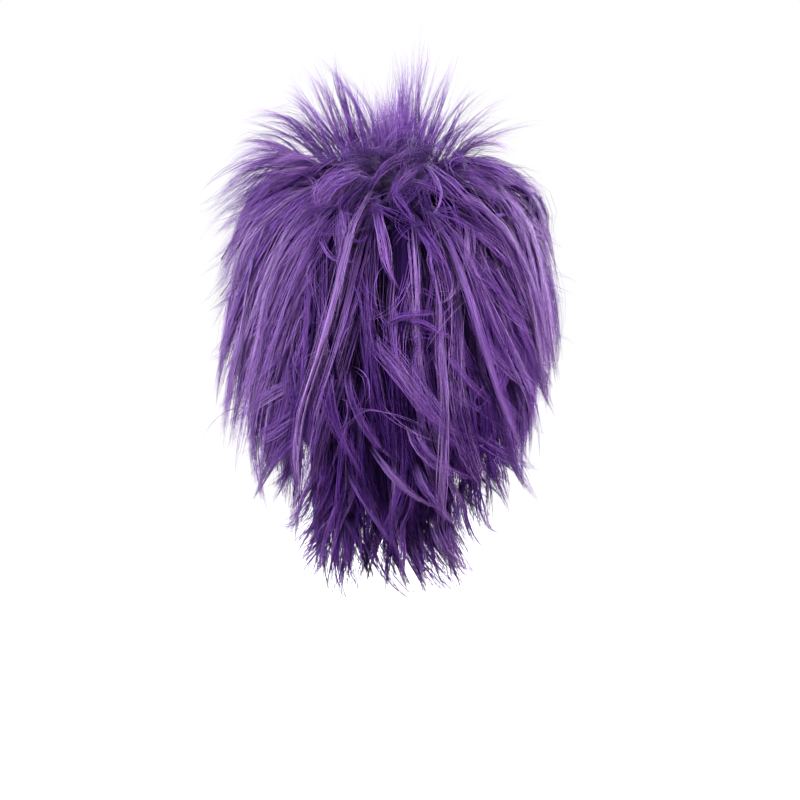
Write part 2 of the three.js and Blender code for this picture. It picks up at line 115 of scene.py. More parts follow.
# The bands of hair. polar places the weft and span its azimuths. strands is how many a lock
# has on average, and points how many each goes through. level is how far out the
# hair lies between cap (0) and outside (1), rise how soon it gets there, fall how far down it
# goes towards the longest tips, and shortest the same for its shortest locks. sway is how many
# degrees it turns round the head on its way, away from the middle of the back on the wearer's
# left and right, or for a fringe away from the middle of the forehead, and turn instead gives
# the least and most of one way. ease is how late it does so, curl how far the ends turn either
# way, flick how far they stand out, and tone the usual shade, 0 dark and 1 pale.
# The tones are partly painted shade: bands lower down and under others have darker tones for the
# shade they lie in.
BANDS = [
    dict(node="nape_weft", polar=(119, 124), span=(-44, 44), locks=30, strands=46, points=7,
         level=0.16, rise=0.28, fall=1.1, shortest=0.72, sway=(34, 36), ease=2.0,
         tone=0.24, curl=20, flick=0.3),
    dict(node="lower_back_weft", polar=(101, 106), span=(-60, 60), locks=34, strands=46, points=7,
         level=0.34, rise=0.22, fall=1.06, shortest=0.6, sway=(32, 34), ease=2.0,
         tone=0.26, curl=17, flick=0.34),
    dict(node="mid_back_weft", polar=(83, 88), span=(-80, 80), locks=38, strands=44, points=8,
         level=0.52, rise=0.19, fall=0.98, shortest=0.45, sway=(34, 32), ease=1.8,
         tone=0.32, curl=15, flick=0.34),
    dict(node="upper_back_weft", polar=(65, 71), span=(-104, 104), locks=42, strands=49, points=8,
         level=0.7, rise=0.16, fall=0.86, shortest=0.4, sway=(46, 36), ease=1.2,
         tone=0.43, curl=15, flick=0.32),
    dict(node="crown_weft", polar=(46, 53), span=(-116, 116), locks=44, strands=50, points=8,
         level=0.83, rise=0.14, fall=0.74, shortest=0.34, sway=(62, 44), ease=0.9,
         tone=0.53, curl=14, flick=0.28),
    dict(node="top_weft", polar=(30, 37), span=(-122, 122), locks=34, strands=53, points=8,
         level=0.9, rise=0.12, fall=0.62, shortest=0.26, sway=(66, 48), ease=0.8,
         tone=0.54, curl=10, flick=0.2),
    *both_sides(node="left_temple_weft", polar=(83, 86), span=(103, 125), locks=9, strands=40,
                points=7, level=0.3, rise=0.25, fall=1.0, shortest=0.6, turn=(-6, 6),
                ease=1.0, tone=0.45, curl=4, flick=0.2),
    dict(node="fringe_under_weft", polar=(50, 54), span=(130, 230), locks=24, strands=34, points=7,
         level=0.3, rise=0.25, fall=1.0, shortest=0.6, sway=(26, 26), ease=1.0,
         tone=0.45, curl=8, flick=0.1),
    dict(node="fringe_over_weft", polar=(34, 41), span=(128, 232), locks=34, strands=31, points=7,
         level=0.66, rise=0.16, fall=0.95, shortest=0.45, sway=(22, 22), ease=0.9,
         tone=0.52, curl=10, flick=0.2),
]  # fmt: skip

# More locks between those of the bands: sweeps from the crown round to the wearer's left and
# right, an under layer and a middle one where the bands part at the back, covers for the
# sides, the forehead and the temples, and the fall from the round backing.
# The under layer, the middle one and the fall from the round backing have dark tones, which are
# painted shade.
SWEEPS = [
    dict(node="top_weft", polar=(28, 44), span=(-4, 52), locks=30, strands=45, points=8,
         level=0.98, rise=0.12, fall=0.76, shortest=0.34, turn=(44, 84), ease=0.6,
         tone=0.66, curl=12, flick=0.3),
    dict(node="top_weft", polar=(28, 42), span=(-46, 0), locks=16, strands=50, points=8,
         level=0.98, rise=0.12, fall=0.7, shortest=0.42, turn=(-66, -38), ease=0.7,
         tone=0.7, curl=8, flick=0.1),
    dict(node="upper_back_weft", polar=(66, 70), span=(-62, 62), locks=16, strands=40, points=7,
         level=0.42, rise=0.2, fall=0.8, shortest=0.5, sway=(16, 16), ease=1.2,
         tone=0.22, curl=8, flick=0.1),
    dict(node="top_weft", polar=(34, 42), span=(-30, 30), locks=12, strands=38, points=8,
         level=0.68, rise=0.14, fall=0.74, shortest=0.45, turn=(-14, 14), ease=1.0,
         tone=0.22, curl=14, flick=0.06),
    *both_sides(node="crown_weft", polar=(32, 66), span=(80, 144), locks=30, strands=25,
                points=7, level=0.45, rise=0.18, fall=1.0, shortest=0.6, turn=(-10, 10),
                ease=1.0, tone=0.42, curl=6, flick=0.2),
    dict(node="fringe_over_weft", polar=(25, 44), span=(112, 248), locks=27, strands=19, points=7,
         level=0.3, rise=0.2, fall=0.8, shortest=0.6, turn=(-8, 8), ease=1.0,
         tone=0.36, curl=6, flick=0.1),
    *both_sides(node="left_temple_weft", polar=(66, 84), span=(92, 136), locks=12, strands=22,
                points=7, level=0.26, rise=0.22, fall=1.06, shortest=0.8, turn=(-4, 10),
                ease=1.0, tone=0.42, curl=4, flick=0.2),
    dict(node="crown_spikes", polar=(10, 26), span=(-120, 120), locks=30, strands=36, points=7,
         level=0.84, rise=0.2, fall=0.5, shortest=0.2, sway=(24, 26), ease=0.7,
         tone=0.24, curl=14, flick=0.12),
    dict(node="crown_spikes", polar=(10, 26), span=(120, 240), locks=26, strands=29, points=7,
         level=0.8, rise=0.22, fall=0.8, shortest=0.5, sway=(24, 24), ease=0.8,
         tone=0.52, curl=12, flick=0.14),
]  # fmt: skip

# How far locks are rooted from even places, and how much closer together at the middle of the
# back, as shares.
ROOT_SCATTER = 0.45
CROWDING = 0.35
# How much of its sway hair on top has, by the azimuth of its root.
TOP_SWAY = ([-10, 0, 16, 36, 62, 92, 116], [0, 0.3, 0.8, 1.0, 0.8, 0.3, 0])
# How many degrees a lock's turn differs from its band's, on average and usually, how many it
# wanders on its way, and how many times.
DRIFT = (1, 10)
LOCK_WANDER = 5.0
WANDERS = (0.5, 1.4)
# How far locks' levels differ, and how much lower half of them lie on the wearer's left, past
# this azimuth.
LEVELS = (0.76, 1.04)
LOWER_LEFT = 0.4
LEFT_FROM = 40
# How far the ends stand out on the wearer's left, as a level, and the highest level of all.
LEFT_FLICK = 0.85
HIGHEST_LEVEL = 1.42
# How straight the ends go on from this share of the length, where hair follows the head's
# round up to there: the least, and how much more on the wearer's left. AHEAD is the short way
# that gives them their heading.
STRAIGHT_FROM = 0.5
STRAIGHT_ENDS = 0.12
STRAIGHTER_LEFT = 0.6
AHEAD = 0.04
# Bands further out than this part at the middle of the back.
PARTED_LEVEL = 0.6
# Where the bands under them fan out from, and how much their ends curl away from there.
UNDER_PARTING = 12
OUTWARD_CURL = 1.5
# How much shorter the ends are at the wearer's left and right, as degrees on the table of tips.
SHORTER_LEFT = 3
SHORTER_RIGHT = 7
# The azimuth that no lock of the back's lower bands goes past.
FURTHEST_ROUND = 76
# How wide and how thick a lock is along it, as shares, and how thick as a level.
LOCK_WIDTH = ([0, 0.25, 0.6, 1], [1.1, 1.25, 0.95, 0.12])
LOCK_DEPTH = ([0, 0.2, 0.7, 1], [0.1, 1, 0.9, 0.25])
LOCK_THICKNESS = 0.075
# How much locks differ in size.
SIZES = (0.55, 1.5)
# How much their shades differ, how much paler than its band a lock is at most, and how much paler
# hair rooted at the sides is, as painted light from the lamps at the sides.
SHADE_SPREAD = 0.15
PALEST = 0.18
SIDES_PAINTED_LIGHT = 0.08
# Half a strand's width, and that of a wisp, how many are wisps, and how much paler they are, as
# painted light through thin hair.
STRAND_RADIUS = 0.26
WISP_RADIUS = 0.13
WISP_SHARE = 0.13
WISPS_PAINTED_LIGHT = 0.12
# How thick a strand is for its width.
FLATNESS = 0.6
# A strand's width as shares: at its root, how fast it grows from there, how fast it thins
# towards the tip, and the least it thins to.
ROOT_WIDTH = 0.55
ROOT_GROWTH = 1.6
TIP_TAPER = 1.9
TIP_WIDTH = 0.25
SHADES = 48
# How much of its shade's column a strand takes up on the map, and the map's empty edge.
COLUMN_FILLED = 0.7
MAP_EDGE = 0.02
BAKE_MAP = "OFBake"
# On the map, u below this is the strands' shades and above it the cores' fine streaks.
CORE_MAP = 0.75
CORE_STREAKS = 2048
# The cores' streaks are painted shade, from near black up to this share of the shades.
PALEST_PAINTED_CORE_SHADE = 0.05


# The space round the head


def curve(table, column, place):
    """A column of a table at places along its first column, on one smooth curve."""
    rows = np.array(table, float)
    keys, values = rows[:, 0], rows[:, column]
    slopes = np.empty(len(keys))
    slopes[1:-1] = (values[2:] - values[:-2]) / (keys[2:] - keys[:-2])
    slopes[0] = (values[1] - values[0]) / (keys[1] - keys[0])
    slopes[-1] = (values[-1] - values[-2]) / (keys[-1] - keys[-2])
    i = np.clip(np.searchsorted(keys, place) - 1, 0, len(keys) - 2)
    span = keys[i + 1] - keys[i]
    t = np.clip((place - keys[i]) / span, 0, 1)
    straight = values[i] + (values[i + 1] - values[i]) * t * t * (3 - 2 * t)
    return straight + t * (1 - t) * ((1 - t) * slopes[i] - t * slopes[i + 1]) * span


def folded(azimuth):
    """Azimuth as 0 at the nape and 180 at the forehead, for what is the same on both sides."""
    turned = np.mod(azimuth, 360)
    return np.where(turned > 180, 360 - turned, turned)


def head_point(azimuth, polar, offset):
    """A point on the head, pushed out along the head's own normal."""
    a, p = np.radians(azimuth), np.radians(polar)
    unit = np.stack(np.broadcast_arrays(np.sin(p) * np.sin(a), np.sin(p) * np.cos(a), np.cos(p)), -1)
    normal = unit / HEAD_HALF
    normal /= np.linalg.norm(normal, axis=-1, keepdims=True)
    return unit * HEAD_HALF + HEAD_CENTRE + normal * np.asarray(offset, float)[..., None]


def hair_point(azimuth, run, level):
    """A point in the hair: level 0 is at the wefts, and 1 on the hair's outside."""
    root = CAP_WALL + SEAT_GAP + WEFT_THICKNESS * ROOT_IN_WEFT
    s, c = np.sin(np.radians(azimuth)), np.cos(np.radians(azimuth))
    inside = head_point(azimuth, NAPE_POLAR * np.minimum(run, 1), root)
    neck = np.stack([NECK_HALF_WIDTH * s, NECK_REACH * c, np.full_like(s, -HAIR_DROP)], -1)
    below = np.clip(run - 1, 0, None)[..., None]
    inside = inside + (neck - inside) * below
    reach, drop = curve(OUTSIDE, 1, run), curve(OUTSIDE, 2, run)
    length = HEAD_HALF[1] + np.where(c > 0, BACK_DEPTH, FRONT_DEPTH)
    outside = np.stack(
        [
            s * reach * (HEAD_HALF[0] + SIDE_DEPTH),
            c * reach * length,
            TOP_DEPTH - (TOP_DEPTH + HAIR_DROP) * drop,
        ],
        -1,
    )
    return inside + (outside - inside) * level[..., None]


# Meshes


def new_mesh(name, points, faces, maps=None, smooth=True):
    """An object in metres from points in millimetres, with its faces' corners in UV maps. The
    faces are a list, or an array of quads and one of triangles."""
    mesh = bpy.data.meshes.new(name)
    if isinstance(faces, list):
        corners = np.concatenate([np.asarray(face) for face in faces])
        counts = np.array([len(face) for face in faces])
    else:
        quads, triangles = faces
        corners = np.concatenate([quads.ravel(), triangles.ravel()])
        counts = np.concatenate([np.full(len(quads), 4), np.full(len(triangles), 3)])
    mesh.vertices.add(len(points))
    mesh.vertices.foreach_set("co", (np.asarray(points) * MM).astype(np.float32).ravel())
    mesh.loops.add(len(corners))
    mesh.loops.foreach_set("vertex_index", corners.astype(np.int32))
    mesh.polygons.add(len(counts))
    starts = np.concatenate([[0], np.cumsum(counts)[:-1]])
    mesh.polygons.foreach_set("loop_start", starts.astype(np.int32))
    mesh.polygons.foreach_set("loop_total", counts.astype(np.int32))
    mesh.polygons.foreach_set("use_smooth", np.full(len(counts), smooth))
    for map_name, places in (maps or {}).items():
        layer = mesh.uv_layers.new(name=map_name)
        layer.data.foreach_set("uv", places.astype(np.float32).ravel())
    mesh.update(calc_edges=True)
    mesh.validate()
    piece = bpy.data.objects.new(name, mesh)
    bpy.context.scene.collection.objects.link(piece)
    return piece


def tube_quads(rings, sides, first=0):
    """The faces between rings of points that follow each other, from point number first."""
    side = np.arange(sides)[None, :]
    after = (side + 1) % sides
    low = first + np.arange(rings - 1)[:, None] * sides
    high = low + sides
    return np.stack([low + side, low + after, high + after, high + side], -1).reshape(-1, 4)


def copies(faces, count, per):
    """The faces of count bodies of per points each, from the faces of one."""
    shift = (np.arange(count) * per)[:, None, None]
    return (faces[None] + shift).reshape(-1, faces.shape[1])


def crosswise(paths):
    """Two directions across each strand at each of its points: along the head and off it."""
    along = np.gradient(paths, axis=1)
    along /= np.linalg.norm(along, axis=2, keepdims=True) + 1e-9
    outward = paths[:, paths.shape[1] // 2] - HEAD_CENTRE
    across = np.cross(paths[:, -1] - paths[:, 0], outward)[:, None, :]
    across = across - along * np.sum(across * along, 2, keepdims=True)
    across /= np.linalg.norm(across, axis=2, keepdims=True) + 1e-9
    return across, np.cross(along, across)


def strand_map(shades, t, quads, triangles):
    """Places on the map: every strand is a narrow upright strip of its shade's column."""
    side = np.arange(3)
    column = (np.floor(np.clip(shades, 0, 0.999) * SHADES) + 0.5) / SHADES * CORE_MAP
    strip = (np.arange(4) / 3 - 0.5) * COLUMN_FILLED / SHADES * CORE_MAP
    height = np.concatenate([[0.0], t[1:-1].repeat(3), [1.0]]) * (1 - 2 * MAP_EDGE) + MAP_EDGE
    quad_u = np.tile(np.stack([side, side + 1, side + 1, side], -1), (len(quads) // 3, 1))
    triangle_u = np.array([[1, 1, 0], [1, 2, 1], [2, 3, 2], [0, 1, 0], [1, 2, 1], [2, 3, 2]])
    places = []
    for pick, faces in ((quad_u, quads), (triangle_u, triangles)):
        u = column[:, None, None] + strip[pick][None]
        v = np.broadcast_to(height[faces][None], u.shape)
        places.append(np.stack([u, v], -1).reshape(-1, 2))
    return np.concatenate(places)


def strand_mesh(name, paths, radii, shades):
    """Closed three-sided tubes along paths of equal counts, pointed at both ends. The map's u
    is the strand's shade and its v goes from root to tip."""
    count, points, _ = paths.shape
    across, up = crosswise(paths)
    t = np.linspace(0, 1, points)
    rooted = np.clip(ROOT_WIDTH + ROOT_GROWTH * t, 0, 1)
    pointed = np.clip(TIP_TAPER * (1 - t), TIP_WIDTH, 1)
    inner = slice(1, points - 1)
    width = (radii[:, None] * rooted * pointed)[:, inner, None, None]
    turn = chance.uniform(0, 2 * np.pi, count)[:, None, None, None]
    angle = turn + (2 * np.pi / 3) * np.arange(3)[None, None, :, None]
    wide = across[:, inner, None, :] * np.cos(angle) * width
    tall = up[:, inner, None, :] * np.sin(angle) * width * FLATNESS
    rings = paths[:, inner, None, :] + wide + tall
    vertices = np.concatenate([paths[:, :1], rings.reshape(count, -1, 3), paths[:, -1:]], 1)
    per = vertices.shape[1]
    quads = tube_quads(points - 2, 3, first=1)
    side = np.arange(3)
    after = (side + 1) % 3
    last = per - 4
    low = np.stack([np.zeros(3, int), 1 + after, 1 + side], -1)
    high = np.stack([last + side, last + after, np.full(3, per - 1)], -1)
    triangles = np.concatenate([low, high])
    faces = copies(quads, count, per), copies(triangles, count, per)
    maps = {BAKE_MAP: strand_map(shades, t, quads, triangles)}
    return new_mesh(name, vertices.reshape(-1, 3), faces, maps)


# Hair


def wave(groups, points, amount):
    """A smooth wander along each strand, the same for strands of one group, from the root on."""
    t = np.linspace(0, 1, points)[None, :]
    turns = chance.uniform(0.3, 1.1, (groups.max() + 1, 1))[groups]
    phase = chance.uniform(0, 2 * np.pi, (groups.max() + 1, 1))[groups]
    return amount * (np.sin(2 * np.pi * turns * t + phase) - np.sin(phase)) * t**0.5


def top_sway(azimuth):
    """How much of its sway hair on top has, on the side where azimuth counts up."""
    return np.interp(azimuth, *TOP_SWAY)


class Locks:
    """The locks of one band, as arrays with one value a lock."""

    def __init__(self, band):
        self.band = band
        count = self.count = band["locks"]
        first, last = band["span"]
        self.half = (last - first) / count / 2
        scatter = chance.uniform(-ROOT_SCATTER, ROOT_SCATTER, count)
        share = (np.arange(count) + 0.5 + scatter) / count * 2 - 1
        share = (1 - CROWDING) * share + CROWDING * share**3
        self.root = (first + last) / 2 + (last - first) / 2 * share
        self.left = np.clip(np.sin(np.radians(self.root)), 0, 1)
        self.aim()
        self.bends = chance.uniform(*WANDERS, count)
        self.phase = chance.uniform(0, 2 * np.pi, count)
        self.reach_down()
        self.stand_out()
        # Hair rooted at the sides is made paler with painted light.
        paler = SIDES_PAINTED_LIGHT * np.abs(np.sin(np.radians(self.root)))
        differs = np.minimum(chance.normal(0, SHADE_SPREAD, count), PALEST)
        # A band's tone is partly painted shade: lower bands and under layers are darker.
        self.shade = band["tone"] + differs + paler
        self.size = chance.uniform(*SIZES, count)

    def turn(self):
        """How many degrees each lock turns round the head, by the rule of its band."""
        band, root, last = self.band, self.root, self.band["span"][1]
        if "turn" in band:
            return chance.uniform(*band["turn"], self.count)
        if last > 180:
            away = (root - 180) / (last - 180)
            return away * np.where(away < 0, *band["sway"])
        if band["level"] > PARTED_LEVEL:
            left_turn = band["sway"][0] * top_sway(root)
            right_turn = -band["sway"][1] * top_sway(-root)
            return np.where(root > 0, left_turn, right_turn)
        away = (root - UNDER_PARTING) / last
        return away * np.where(away > 0, *band["sway"])

    def aim(self):
        """How far each lock turns in all, and how its end curls."""
        self.drift = self.turn() + chance.normal(*DRIFT, self.count)
        outward = OUTWARD_CURL * np.sin(np.radians(self.root - UNDER_PARTING))
        self.curl = self.band["curl"] * (chance.normal(0, 1.0, self.count) + outward)
        if self.band["span"][1] < 90:
            # Hair of the nape stays behind the ears.
            ends = np.clip(self.root + self.drift + self.curl, -FURTHEST_ROUND, FURTHEST_ROUND)
            least, most = -FURTHEST_ROUND - self.root, FURTHEST_ROUND - self.root
            self.drift = np.clip(self.drift, least, most)
            self.curl = ends - self.root - self.drift

    def reach_down(self):
        """Where each lock starts and ends, as runs."""
        band, count = self.band, self.count
        self.start = chance.uniform(*band["polar"], count) / NAPE_POLAR
        far = self.root + self.drift + 0.7 * self.curl
        sideways = np.sin(np.radians(far))
        shorter = sideways * np.where(sideways > 0, SHORTER_LEFT, -SHORTER_RIGHT)
        longest = curve(TIPS, 1, np.minimum(folded(far) + shorter, 180))
        fall = band["shortest"] + (band["fall"] - band["shortest"]) * chance.random(count) ** 0.6
        self.end = self.start + (longest - self.start) * fall

    def stand_out(self):
        """How far out each lock lies, how far its end flicks out, and how straight it goes on."""
        band, count = self.band, self.count
        self.level = band["level"] * chance.uniform(*LEVELS, count)
        half_of_them = chance.random(count) < 0.5
        self.level *= 1 - LOWER_LEFT * self.left * (self.root > LEFT_FROM) * half_of_them
        self.flick = band["flick"] * np.abs(chance.normal(0, 0.9, count))
        self.flick += LEFT_FLICK * self.left * chance.uniform(0.1, 1, count)
        self.flick = np.minimum(self.flick, HIGHEST_LEVEL - self.level)
        straight = STRAIGHT_ENDS + STRAIGHTER_LEFT * self.left * (band["level"] > PARTED_LEVEL)
        self.straight = straight * chance.uniform(0.4, 1.2, count)

    def place(self, lock, t, aside, deep, reach=1.0):
        """Points of the locks numbered lock, at shares t of their length. aside is 1 at a lock's
        edge, and deep 1 on its outside. The ends go on straighter than the head's round."""
        points = self.follow(lock, t, aside, deep, reach)
        middle = STRAIGHT_FROM * np.ones((len(lock), 1))
        columns = np.argmin(np.abs(t - STRAIGHT_FROM), axis=1)
        pick = np.broadcast_to(columns[:, None], (len(lock), 1))
        beside = np.take_along_axis(np.broadcast_to(aside, points.shape[:2]), pick, 1)
        depth = np.take_along_axis(np.broadcast_to(deep, points.shape[:2]), pick, 1)
        here = self.follow(lock, middle, beside, depth, reach)
        ahead = self.follow(lock, middle + AHEAD, beside, depth, reach) - here
        past = np.clip(t - STRAIGHT_FROM, 0, None)[..., None]
        straight = here + ahead * past / AHEAD
        share = np.clip(past / (1 - STRAIGHT_FROM), 0, 1) ** 0.5
        share = share * np.clip(self.straight, 0, 1)[lock][:, None, None]
        return points + (straight - points) * share

    def follow(self, lock, t, aside, deep, reach):
        """Points that follow the head's round all the way."""

        def each(values):
            return values[lock][:, None]

        azimuth = each(self.root) + each(self.drift) * (reach * t) ** self.band["ease"]
        azimuth = azimuth + each(self.curl) * (reach * t) ** 3
        wander = np.sin(2 * np.pi * each(self.bends) * t * reach + each(self.phase))
        azimuth = azimuth + LOCK_WANDER * (wander - np.sin(each(self.phase))) * t
        azimuth = azimuth + aside * np.interp(t, *LOCK_WIDTH) * self.half * each(self.size)
        run = each(self.start) + (each(self.end) - each(self.start)) * reach * t
        risen = each(self.level) * (1 - np.exp(-t * reach / self.band["rise"]))
        flicked = each(self.flick) * np.clip((t * reach - 0.5) / 0.5, 0, None) ** 2
        thick = LOCK_THICKNESS * deep * np.interp(t, *LOCK_DEPTH)
        return hair_point(azimuth, run, risen + flicked + thick)


# Strands of a lock go in so many tufts. How far tufts and single strands lie from the lock's
# middle across and deep, for its edge of 1, how far of its length they go, and how far the
# tufts part towards their tips, from this share of the length on.
TUFTS = 5
ACROSS_LOCK = (1, 0.23)
DEEP_IN_LOCK = (0.45, 0.12)
TUFT_REACH = (0.8, 1.02)
STRAND_REACH = (0.84, 1.04)
TUFTS_PART = 4.0
PART_FROM = 0.4
# How far tufts and strands wander, across and deep.
WANDER_ACROSS = (0.18, 0.13)
WANDER_DEEP = (0.4, 0.3)
# How loose a wisp is at least, against the other strands.
LOOSE_WISP = 1.5


def tuft_of(lock):
    """The tuft of its lock that each strand is in."""
    return lock * TUFTS + chance.integers(0, TUFTS, len(lock))


def divided(counts, wisp_share, loosest):
    """For every strand its lock, its tuft, whether it is a wisp, and how loose it is."""
    lock = np.repeat(np.arange(len(counts)), counts)
    tuft = tuft_of(lock)
    wisp = chance.random(len(lock)) < wisp_share
    loose = np.where(wisp, chance.uniform(LOOSE_WISP, loosest, len(lock)), 1.0)[:, None]
    return lock, tuft, wisp, loose


def thickness(count, least, most, wisp=False):
    """The strands' radii, between two shares of the usual one, or a wisp's."""
    return np.where(wisp, WISP_RADIUS, STRAND_RADIUS * chance.uniform(least, most, count))


def band_strands(locks):
    """Paths, radii and shades of all the strands of a band. Strands of a lock go in tufts."""
    band = locks.band
    weight = locks.size * chance.uniform(0.7, 1.3, locks.count)
    counts = np.round(band["strands"] * locks.count * weight / weight.sum()).astype(int)
    lock, tuft, wisp, loose = divided(counts, WISP_SHARE, 4.5)
    count, points, tufts = len(lock), band["points"], locks.count * TUFTS
    t = np.linspace(0, 1, points)[None, :]
    edge, own_spread = ACROSS_LOCK
    aside = chance.uniform(-edge, edge, tufts)[tuft] + chance.normal(0, own_spread, count)
    tuft_spread, own_spread = DEEP_IN_LOCK
    deep = chance.normal(0, tuft_spread, tufts)[tuft] + chance.normal(0, own_spread, count)
    reach = chance.uniform(*TUFT_REACH, tufts)[tuft] * chance.uniform(*STRAND_REACH, count)
    parted = np.clip((t - PART_FROM) / (1 - PART_FROM), 0, 1) ** 2
    apart = chance.normal(0, TUFTS_PART, tufts)[tuft][:, None] * parted
    own = np.arange(count)
    across = wave(tuft, points, WANDER_ACROSS[0]) + wave(own, points, WANDER_ACROSS[1])
    aside = aside[:, None] + apart + loose * across
    deep = deep[:, None] * loose + wave(tuft, points, WANDER_DEEP[0])
    deep = deep + wave(own, points, WANDER_DEEP[1]) * loose
    paths = locks.place(lock, t, aside, deep, reach[:, None])
    radii = thickness(count, 0.7, 1.25, wisp)
    shades = locks.shade[lock] + chance.normal(0, 0.08, tufts)[tuft] + chance.normal(0, 0.1, count)
    # Wisps are made paler with painted light.
    return paths, radii, shades + WISPS_PAINTED_LIGHT * wisp


CORE_RINGS = 9
CORE_SIDES = 6
CORE_REACH = 0.72
# How much wider than its strands a small lock's core starts, at most, against a lock of this
# size, and how far along it does.
WIDEST_CORE = 0.3
EVEN_CORES = 1.1
CORE_WIDENED = ([0, 0.25, 0.5], [1, 1, 0])
# Its size across and deep along a lock, for the strands' own of 1, and how deep it is sunk.
CORE_FULL = ([0, 0.3, 0.7, 1], [0.7, 0.85, 0.5, 0.02])
CORE_FLATNESS = 0.5
CORE_SUNK = 0.45
# How much of the cores' part of the map one takes up, and where in it they start.
CORE_STRIP = 0.12
CORE_STARTS = (0.05, 0.8)


def core_mesh(name, locks):
    """The inside of every lock, one closed body each, for the strands to lie on, dark with painted
    shade.
    """
    turn = np.arange(CORE_SIDES) * 2 * np.pi / CORE_SIDES
    lock = np.repeat(np.arange(locks.count), CORE_SIDES)
    t = np.linspace(0.015, 1, CORE_RINGS)[None, :]
    full = np.interp(t, *CORE_FULL)
    # The insides of small locks start as wide as the others, so that none shows a gap.
    wider = np.clip(EVEN_CORES / locks.size - 1, 0, WIDEST_CORE)[lock][:, None]
    wide = np.interp(t, *CORE_WIDENED) * wider
    aside = np.tile(np.cos(turn), locks.count)[:, None] * full * (1 + wide)
    deep = np.tile(np.sin(turn), locks.count)[:, None] * CORE_FLATNESS * full - CORE_SUNK
    grid = locks.place(lock, t, aside, deep, CORE_REACH)
    # The points go lock, side, ring, and are put in the order lock, ring, side.
    grid = grid.reshape(locks.count, CORE_SIDES, CORE_RINGS, 3).transpose(0, 2, 1, 3)
    per = CORE_SIDES * CORE_RINGS
    fan = np.arange(1, CORE_SIDES - 1)
    first = np.stack([np.zeros_like(fan), fan + 1, fan], -1)
    triangles = np.concatenate([first, first[:, ::-1] + per - CORE_SIDES])
    quads = tube_quads(CORE_RINGS, CORE_SIDES)
    faces = copies(quads, locks.count, per), copies(triangles, locks.count, per)
    return new_mesh(name, grid.reshape(-1, 3), faces, {BAKE_MAP: core_map(locks.count, 2 * len(fan))})


def core_map(count, triangles):
    """Places on the map: the sides lie beside each other, in the part of u kept for cores."""
    side = np.arange(CORE_SIDES)[None, :]
    ring = np.arange(CORE_RINGS - 1)[:, None]
    strip = (1 - CORE_MAP) * CORE_STRIP
    base = CORE_MAP + chance.uniform(*CORE_STARTS, count) * (1 - CORE_MAP)
    u = np.stack([side, side + 1, side + 1, side], -1) / CORE_SIDES * strip
    u = np.broadcast_to(u, (CORE_RINGS - 1, CORE_SIDES, 4)).reshape(-1, 4)
    u = base[:, None, None] + u[None]
    v = np.stack([ring, ring, ring + 1, ring + 1], -1) / (CORE_RINGS - 1)
    v = v * (1 - 2 * MAP_EDGE) + MAP_EDGE
    v = np.broadcast_to(v, (CORE_RINGS - 1, CORE_SIDES, 4)).reshape(-1, 4)
    quad_map = np.stack([u, np.broadcast_to(v[None], u.shape)], -1).reshape(-1, 2)
    corner = np.array([[0.0, 0.0], [strip, 0.0], [0.0, MAP_EDGE]])
    cap_map = base[:, None, None, None] * [1.0, 0.0] + corner[None, None]
    cap_map = np.broadcast_to(cap_map, (count, triangles, 3, 2)).reshape(-1, 2)
    return np.concatenate([quad_map, cap_map])


# The crown's spikes that show in the outline from behind: where the tip is, how far the spike
# bows upwards, its strands, and how wide it starts.
SPIKES = [
    ((41, 8, 78), 10, 130, 15), ((27, -8, 72), 6, 60, 11), ((14, 20, 64), 4, 60, 11),
    ((-3, 4, 83), 6, 44, 9), ((-9, -14, 89), 8, 26, 7), ((-24, 6, 82), 10, 66, 10),
    ((-39, -4, 77), 12, 50, 9), ((-54, 10, 62), 14, 40, 9), ((-72, 0, 54), 18, 22, 6),
    ((-83, 6, 38), 22, 34, 8), ((56, 2, 72), 14, 60, 10), ((66, 14, 58), 22, 70, 11),
    ((78, -6, 42), 28, 84, 12), ((92, 6, 36), 32, 90, 12), ((100, 14, 26), 34, 90, 12),
    ((99, 24, 10), 34, 84, 12), ((108, 10, 5), 36, 90, 12), ((112, 20, -14), 38, 80, 12),
    ((96, 46, 14), 30, 70, 12), ((107, 34, -8), 38, 80, 14), ((110, 32, -32), 40, 80, 14),
    ((100, 56, -30), 38, 80, 14), ((82, 66, 0), 30, 80, 13), ((-72, 30, 20), 30, 70, 12),
    ((-84, 40, -2), 34, 80, 14), ((-94, 36, -26), 40, 80, 14), ((-82, 62, -22), 38, 80, 14),
    ((-60, 74, -6), 30, 70, 13), ((60, 50, 44), 22, 60, 11), ((30, 60, 50), 18, 60, 11),
    ((-30, 62, 40), 20, 50, 11), ((-60, 46, 30), 24, 50, 11),
]  # fmt: skip
# Smaller spikes: how many, their strands and width, the share that leans to the front, how far
# they turn from straight ahead or back, and how far they lean at most, forward and back.
MORE_SPIKES = 84
MORE_STRANDS = 14
MORE_WIDTH = 8
MORE_LENGTH = (42, 80)
FORWARD_SHARE = 0.62
FORWARD_SPREAD = 42
FURTHEST_LEAN = (74, 56)
# How much shorter one is that leans right over, how much wider and lower all of them reach,
# across, along and up, how much lower they end, and how far they bow, upright and leaning.
LEAN_SHORTER = 0.12
MORE_STRETCH = (1.05, 1.15, 0.95)
MORE_LOWER = 2
MORE_BOW = (6, 20)
SPIKE_POINTS = 7
SPIKE_ROOTS = (0, 26)
SPIKE_TONE = 0.53
# Where along a spike it bows most, and how far its tufts and single strands lie apart there and
# at its root, as shares of its width, and at its tip, in millimetres.
BOW_AT = 0.45
SPIKE_MIDDLE = (0.42, 0.05)
SPIKE_ROOT = (0.5, 0.1)
SPIKE_TIP = (3.2, 0.6)
# How much of its way a tuft goes, and a strand of what its tuft does, and how far each waves.
SPIKE_TUFT_REACH = (0.84, 1.06)
SPIKE_STRAND_REACH = (0.86, 1.03)
TUFT_WAVE = 2.6
STRAND_WAVE = 0.5
# How much the shades of spikes, tufts and strands differ.
SPIKE_SHADES = (0.1, 0.07, 0.07)
# Twice the radius of the crown's round, in millimetres.
CROWN_ROUND = 170


